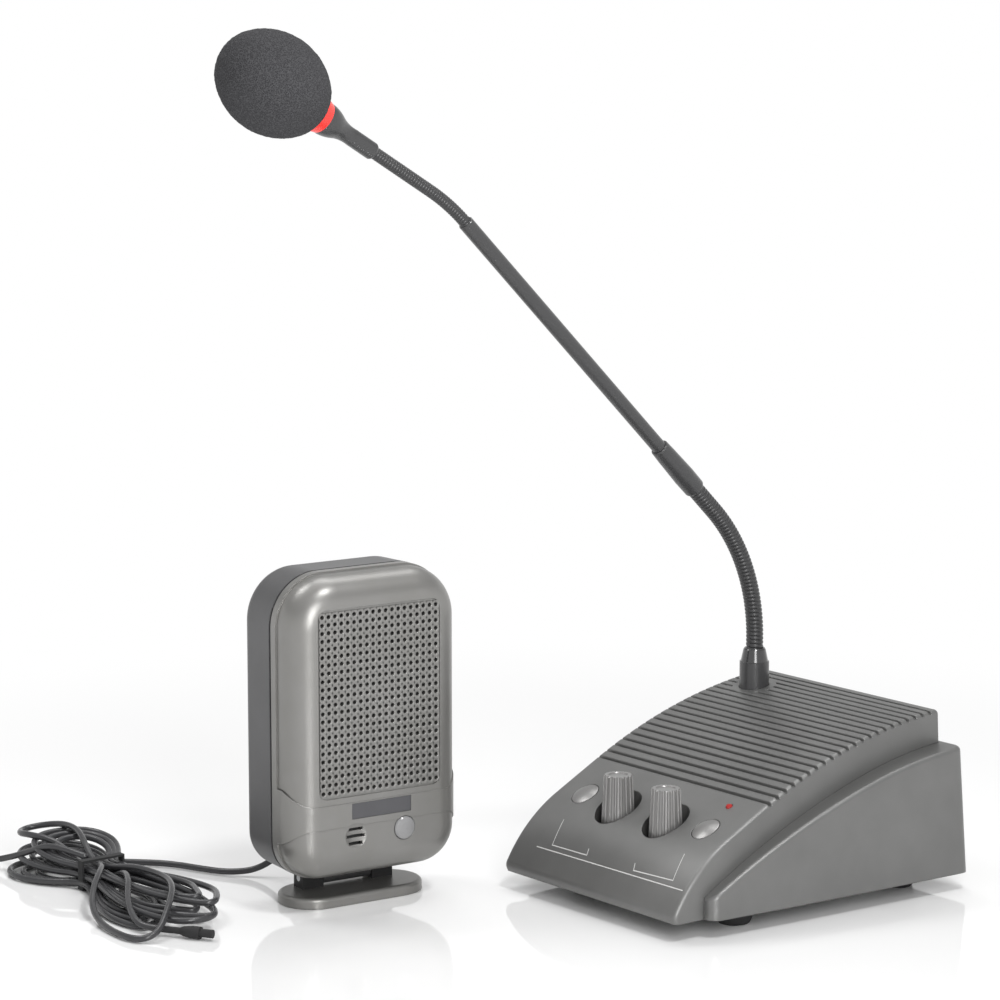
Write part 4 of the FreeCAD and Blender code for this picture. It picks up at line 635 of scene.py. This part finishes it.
for column in range(COLUMNS):
    for row in range(ROWS):
        x = (column - (COLUMNS - 1) / 2) * PITCH_X
        z = (FIELD_LOW + FIELD_TOP) / 2 + (row - (ROWS - 1) / 2) * PITCH_Z
        rings = [hole_ring(x, z, outside, y) for outside, y in HOLE_RINGS]
        for near, far in zip(rings, rings[1:]):
            for step in range(HOLE_SIDES):
                following = (step + 1) % HOLE_SIDES
                grille.faces.new((near[step], near[following], far[following], far[step]))
bmesh.ops.remove_doubles(grille, verts=grille.verts, dist=mm(0.02))
bmesh.ops.recalc_face_normals(grille, faces=grille.faces)
grille_mesh = bpy.data.meshes.new("grille_face")
grille.to_mesh(grille_mesh)
grille.free()
for polygon in grille_mesh.polygons:
    polygon.use_smooth = True
grille_mesh.materials.append(abs_front)
grille_face = bpy.data.objects.new("grille_face", grille_mesh)
bpy.context.collection.objects.link(grille_face)
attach(grille_face, "outside_unit")
print("grille holes:", COLUMNS * ROWS, "points:", len(grille_mesh.vertices))

# %% [markdown]
# ## Printed lines on the panel
# Thin white lines are screen-printed on the control panel. Each is drawn as points on the plan of
# the panel, in the console's own frame, and every millimetre of it is dropped straight down onto the
# cover, so the print follows the panel's roll.

# %% Printed lines
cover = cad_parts["top_cover"]
to_cover = cover.matrix_world.inverted()
ABOVE_CONSOLE = 200.0
PRINT_WIDTH = 0.32
PRINT_LIFT = 0.03
PRINTS = {
    "long_rule": [(-43.9, -75.8), (56.9, -75.3)],
    "left_bracket": [(-38.9, -64.0), (-35.0, -74.0), (-10.5, -73.8), (-11.6, -71.7)],
    "right_bracket": [(20.7, -71.7), (22.3, -74.0), (48.3, -73.3), (44.3, -63.1)],
}


def drop_on_cover(x, y):
    """Point on the cover under this spot of the plan, a hair above the surface."""
    start = to_cover @ on_console(x, y, ABOVE_CONSOLE)
    way = (to_cover.to_3x3() @ Vector((0, 0, -1))).normalized()
    spot, normal = cover.ray_cast(start, way)[1:3]
    outward = (cover.matrix_world.to_3x3() @ normal).normalized()
    return cover.matrix_world @ spot + outward * mm(PRINT_LIFT)


print_points = []
print_faces = []
for corners in PRINTS.values():
    for (x0, y0), (x1, y1) in zip(corners, corners[1:]):
        length = math.hypot(x1 - x0, y1 - y0)
        side_x = -(y1 - y0) / length * PRINT_WIDTH / 2
        side_y = (x1 - x0) / length * PRINT_WIDTH / 2
        steps = max(1, round(length))
        first = len(print_points)
        for step in range(steps + 1):
            share = (step / steps) * (1 + PRINT_WIDTH / length) - PRINT_WIDTH / length / 2
            x, y = x0 + (x1 - x0) * share, y0 + (y1 - y0) * share
            print_points += [drop_on_cover(x + side_x, y + side_y), drop_on_cover(x - side_x, y - side_y)]
        for corner in range(first, first + 2 * steps, 2):
            print_faces.append((corner, corner + 1, corner + 3, corner + 2))
prints = new_piece("panel_print", print_points, print_faces, ink)
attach(prints, "console")
print("printed strips:", len(PRINTS), "faces:", len(print_faces))

# %% [markdown]
# ## The lead and its hank
# Most of the lead lies in a hank of ten turns, drawn together by a tie at the waist, with a lobe on
# each side. The first turns lie in three layers. The first layer spirals inward, the next one
# outward, so the lead never cuts through itself, and each layer's lobes point a slightly different
# way, which gives the loose fan of a hank that was tied by hand. Then the lead takes a longer loop in
# front, springs out once more on the left, and ends under the front loop. A NURBS curve of order 3
# smooths the points.

# %% Route of the lead
LEAD_RADIUS = 1.5
WAIST = Vector((-154.0, -147.5, 0.0))
SLOTS = [9.15, 6.1, 3.05]
LAYER_Z = [3.0, 6.3, 9.6]
LOBES = {
    # side: for each layer, (direction in degrees, reach, half width, height of the lobe, arch at the tip)
    "right": [(-13.0, 80.0, 17.0, 1.7, 0.0), (-4.0, 92.0, 17.0, 5.2, 0.4), (7.0, 88.0, 15.0, 8.8, 1.5)],
    "left": [(188.0, 55.0, 21.0, 1.7, 0.0), (178.0, 58.0, 20.0, 5.6, 2.5), (171.0, 50.0, 20.0, 10.5, 5.0)],
}
# turns in the inner slots of the waist are smaller
SHRINK = [1.0, 0.82, 0.62]
# along one side of a lobe, (share of its reach, share of its half width); None is as wide as the slot
LOBE_SHAPE = [(0.12, None), (0.34, 0.80), (0.62, 1.0), (0.87, 0.82), (1.0, 0.34)]
# the part of a lobe's reach that all its turns share; the rest shrinks with the turn
SHARED_REACH = 0.25
# the share of the reach over which a turn goes from its layer's height at the waist to its lobe's
SETTLE = 0.3


def lobe_pass(side, layer, first, last, rise_to=None):
    """Points round one lobe, in at slot `first` and out at slot `last`; rise_to is the next layer."""
    direction, reach, width, height, arch = LOBES[side][layer]
    way = Vector((math.cos(math.radians(direction)), math.sin(math.radians(direction)), 0))
    across = Vector((-way.y, way.x, 0))
    root = LOBE_SHAPE[0][0]
    points = []
    for sign, slot, run in ((-1, first, LOBE_SHAPE), (1, last, LOBE_SHAPE[::-1])):
        size = SHRINK[slot]
        for share, spread in run:
            lateral = SLOTS[slot] if spread is None else max(spread * width * size, SLOTS[slot] * 0.8)
            length = reach * share
            if share > root:
                length = reach * (share * (SHARED_REACH + (1 - SHARED_REACH) * size))
            z = LAYER_Z[layer] + (height - LAYER_Z[layer]) * min(1.0, (share - root) / SETTLE)
            z += arch * max(0.0, share - SETTLE) / (1 - SETTLE)
            if sign > 0 and rise_to is not None:
                z += (LAYER_Z[rise_to] - LAYER_Z[layer]) * (1.0 - share) ** 0.8
            spot = WAIST + way * length + across * (sign * lateral)
            points.append((spot.x, spot.y, z))
    return points


print("slots across the waist:", SLOTS)

# %% Points of the lead
LIE = LEAD_RADIUS + 0.1
LANDING = (-123.5, -80.0, 3.4)
gland_root = on_unit(-4.0, 26.8, 27.0) / MM
gland_end = on_unit(-4.0, 43.8, 27.0) / MM
way_down = [
    (-115.0, -71.0, 13.0), LANDING, (-133.0, -90.5, LIE), (-147.0, -97.0, LIE), (-163.0, -102.8, LIE),
    (-175.0, -113.0, LIE),
]
# side, layer, slot in, slot out, layer to rise to; the lead reaches the first lobe when it is already wide
first_lobe = lobe_pass("left", 0, 0, 0)[2:]
passes = [
    ("right", 0, 0, 1, None), ("left", 0, 1, 1, None), ("right", 0, 1, 2, None), ("left", 0, 2, 2, None),
    ("right", 0, 2, 2, 1),
    ("left", 1, 2, 2, None), ("right", 1, 2, 1, None), ("left", 1, 1, 1, None), ("right", 1, 1, 0, None),
    ("left", 1, 0, 0, None), ("right", 1, 0, 0, 2),
    ("left", 2, 0, 0, None), ("right", 2, 0, 1, None), ("left", 2, 1, 1, None), ("right", 2, 1, 2, None),
    ("left", 2, 2, 2, None),
]
# the front loop stands up from the desk and goes back through the middle of the waist
front_loop = [
    (-146.0, -152.0, 12.8), (-134.0, -161.5, 13.0), (-123.0, -171.5, 10.5), (-111.0, -180.0, 5.5),
    (-98.0, -184.5, 2.2), (-84.0, -187.0, LIE), (-70.0, -187.6, LIE), (-61.5, -184.0, 1.9),
    (-61.5, -176.5, 4.2), (-68.0, -169.0, 7.8), (-77.0, -160.5, 11.5), (-88.0, -151.5, 14.2),
    (-102.0, -145.0, 14.6), (-117.0, -143.0, 14.0), (-131.0, -144.5, 13.8), (-142.0, -146.5, 11.6),
    (-154.0, -147.5, 9.6),
]
# the last turn springs out of the hank on the left
last_turn = [
    (-164.0, -147.2, 11.5), (-176.0, -143.5, 17.0), (-190.0, -138.5, 19.0), (-204.0, -137.5, 18.6),
    (-215.0, -142.0, 16.5), (-219.0, -150.0, 15.0), (-212.0, -157.5, 15.5), (-200.0, -157.5, 17.0),
    (-188.0, -152.5, 16.0), (-176.0, -148.5, 10.0), (-165.0, -147.5, 6.3), (-154.0, -147.5, 6.3),
]
# the end comes out under the front loop, as far as the root of its plug
plug_end = [
    (-145.0, -147.8, 6.6), (-137.0, -148.5, 9.8), (-128.0, -151.0, 12.6), (-117.0, -156.5, 12.4),
    (-107.0, -163.5, 10.6), (-97.0, -169.5, 8.2), (-88.0, -173.5, 6.0), (-80.0, -175.6, 4.0),
    (-74.0, -174.2, 3.0), (-69.1, -171.2, 2.9),
]
route = [gland_root, gland_end] + way_down + first_lobe
for lobe in passes:
    route += lobe_pass(*lobe)
route += front_loop + last_turn + plug_end


def smooth_line(points, resolution):
    """The points of a NURBS curve of order 3 through this control polygon, in metres."""
    curve = bpy.data.curves.new("line", "CURVE")
    curve.dimensions = "3D"
    spline = curve.splines.new("NURBS")
    spline.points.add(len(points) - 1)
    for spot, point in zip(spline.points, points):
        spot.co = (*mm(*point), 1.0)
    spline.order_u = 3
    spline.use_endpoint_u = True
    spline.resolution_u = resolution
    holder = bpy.data.objects.new("line", curve)
    mesh = bpy.data.meshes.new_from_object(holder)
    line = [vertex.co.copy() for vertex in mesh.vertices]
    bpy.data.meshes.remove(mesh)
    bpy.data.objects.remove(holder)
    bpy.data.curves.remove(curve)
    return line


lead_line = smooth_line(route, 8)
print("lead: points", len(route), "length", round(line_length(lead_line), 3))

# %% [markdown]
# ## The lead as a tube
# The tube follows that line. The short second lead comes out of the hank on the left.


# %% The lead
def lead_tube(name, line):
    """A round tube in the lead's sheath along a line."""
    points, faces = sweep(line, [LEAD_RADIUS * MM] * len(line), sides=12)
    return new_piece(name, points, faces, sheath)


lead = lead_tube("unit_lead", lead_line)
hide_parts("link_lead", "lead_hank")
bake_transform(lead)

side_route = [
    (-160.0, -152.0, 13.6), (-172.0, -156.5, 16.0), (-184.0, -160.5, 15.5), (-197.0, -163.0, 9.5),
    (-212.0, -169.0, 4.2), (-226.0, -180.0, LIE), (-238.0, -193.0, LIE),
]
side_line = smooth_line(side_route, 10)
branch = lead_tube("branch_lead", side_line)
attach(branch, "console")
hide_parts("side_lead")
print("branch length", round(line_length(side_line), 3))

# %% [markdown]
# ## Floor
# A pale, glossy floor takes the shadow and a faint reflection. Away from the set it fades into the
# white of the backdrop, as a lit paper sweep does. For the camera the floor is a little whiter than
# for the light that it throws back on the set.

# %% Floor
FLOOR_HALF = 6.0
FLOOR_DROP = 0.2
FADE_START, FADE_END = 0.27, 0.62
WHITE_FOR_LIGHT, WHITE_FOR_CAMERA = 0.93, 1.06
floor_material, tree, shader, place = start_material("studio_floor", Roughness=0.05, IOR=1.6)
floor_rays = add_node(tree, "ShaderNodeLightPath")
whiteness = add_node(tree, "ShaderNodeMapRange", {"To Min": WHITE_FOR_LIGHT, "To Max": WHITE_FOR_CAMERA},
                     {"Value": floor_rays.outputs["Is Camera Ray"]})
tree.links.new(whiteness.outputs["Result"], shader.inputs["Base Color"])
flat_place = add_node(tree, "ShaderNodeVectorMath", {1: (1.0, 1.0, 0.0)}, {0: place}, operation="MULTIPLY")
away = add_node(tree, "ShaderNodeVectorMath", links={0: flat_place.outputs["Vector"]}, operation="LENGTH")
fade = add_node(tree, "ShaderNodeMapRange", {"From Min": FADE_START, "From Max": FADE_END},
                {"Value": away.outputs["Value"]}, interpolation_type="SMOOTHSTEP")
paper_white = add_node(tree, "ShaderNodeEmission", {"Color": (1, 1, 1, 1), "Strength": 1.0})
backdrop = add_node(tree, "ShaderNodeMixShader", links={
    "Fac": fade.outputs["Result"], 1: shader.outputs["BSDF"], 2: paper_white.outputs["Emission"]})
tree.links.new(backdrop.outputs["Shader"], tree.nodes["Material Output"].inputs["Surface"])
floor_corners = [(x * FLOOR_HALF, y * FLOOR_HALF, 0) for x, y in ((-1, -1), (1, -1), (1, 1), (-1, 1))]
floor_mesh = bpy.data.meshes.new("studio_floor")
floor_mesh.from_pydata(floor_corners, [], [(0, 1, 2, 3)])
floor_mesh.materials.append(floor_material)
floor = bpy.data.objects.new("studio_floor", floor_mesh)
floor.location.z = -mm(FLOOR_DROP)
bpy.context.collection.objects.link(floor)
print("floor", FLOOR_HALF * 2, "m wide")

# %% [markdown]
# ## Light and background
# The key lamp stands in front of the grille and lights both halves. A small lamp above draws the
# edges, one on the left lights the shoulder of the outside unit, and a broad one behind fills the
# tops. The world is plain white for the camera. What the surfaces mirror is bright near the
# horizon and darker above it, so that rolled edges read, and its soft light comes from all sides.


# %% Light
def area_lamp(name, place, target, size, power):
    """A rectangular lamp that points at a target; metres and watts."""
    data = bpy.data.lights.new(name, "AREA")
    data.shape = "RECTANGLE"
    data.size, data.size_y = size
    data.energy = power
    lamp = bpy.data.objects.new(name, data)
    lamp.location = place
    lamp.rotation_euler = (Vector(target) - Vector(place)).to_track_quat("-Z", "Y").to_euler()
    bpy.context.collection.objects.link(lamp)


area_lamp("key", (0.8, -0.38, 0.36), (0.0, -0.04, 0.07), (0.3, 0.5), 4.6)
area_lamp("edge_light", (0.45, 0.0, 1.0), (0.05, 0.0, 0.07), (0.16, 0.16), 3.6)
area_lamp("shoulder_light", (-0.42, -0.25, 0.75), (-0.06, -0.08, 0.13), (0.25, 0.25), 1.2)
area_lamp("top", (-0.5, 0.5, 1.5), (0.0, 0.0, 0.08), (0.9, 0.6), 5)

# %% Background
DIFFUSE_SKY = 0.4
# height above the horizon, from 0 to 1, and brightness there; the horizon and the zenith are white
MIRRORED_SKY = [(0.26, 0.9), (0.42, 0.4), (0.9, 0.75)]
world = bpy.data.worlds.new("studio")
world.use_nodes = True
bpy.context.scene.world = world
sky = world.node_tree
background = sky.nodes["Background"]
background.inputs["Color"].default_value = (1, 1, 1, 1)
rays = add_node(sky, "ShaderNodeLightPath")
direct = add_node(sky, "ShaderNodeMath",
                  links={0: rays.outputs["Is Camera Ray"], 1: rays.outputs["Is Transmission Ray"]},
                  operation="MAXIMUM")
direction = add_node(sky, "ShaderNodeTexCoord")
upright = add_node(sky, "ShaderNodeSeparateXYZ", links={0: direction.outputs["Generated"]})
mirrored = add_node(sky, "ShaderNodeValToRGB", links={"Fac": upright.outputs["Z"]})
for position, brightness in MIRRORED_SKY:
    stop = mirrored.color_ramp.elements.new(position)
    stop.color = (brightness, brightness, brightness, 1)
mirrored.color_ramp.elements[0].color = (1, 1, 1, 1)
around = add_node(sky, "ShaderNodeMix", {"A": DIFFUSE_SKY},
                  {"Factor": rays.outputs["Is Glossy Ray"], "B": mirrored.outputs["Color"]})
strength = add_node(sky, "ShaderNodeMapRange", {"To Max": 1.0},
                    {"Value": direct.outputs["Value"], "To Min": around.outputs["Result"]})
sky.links.new(strength.outputs["Result"], background.inputs["Strength"])
bpy.context.scene.view_settings.view_transform = "Standard"
print("sky stops:", len(mirrored.color_ramp.elements))

# %% End of the scene
print("scene built")
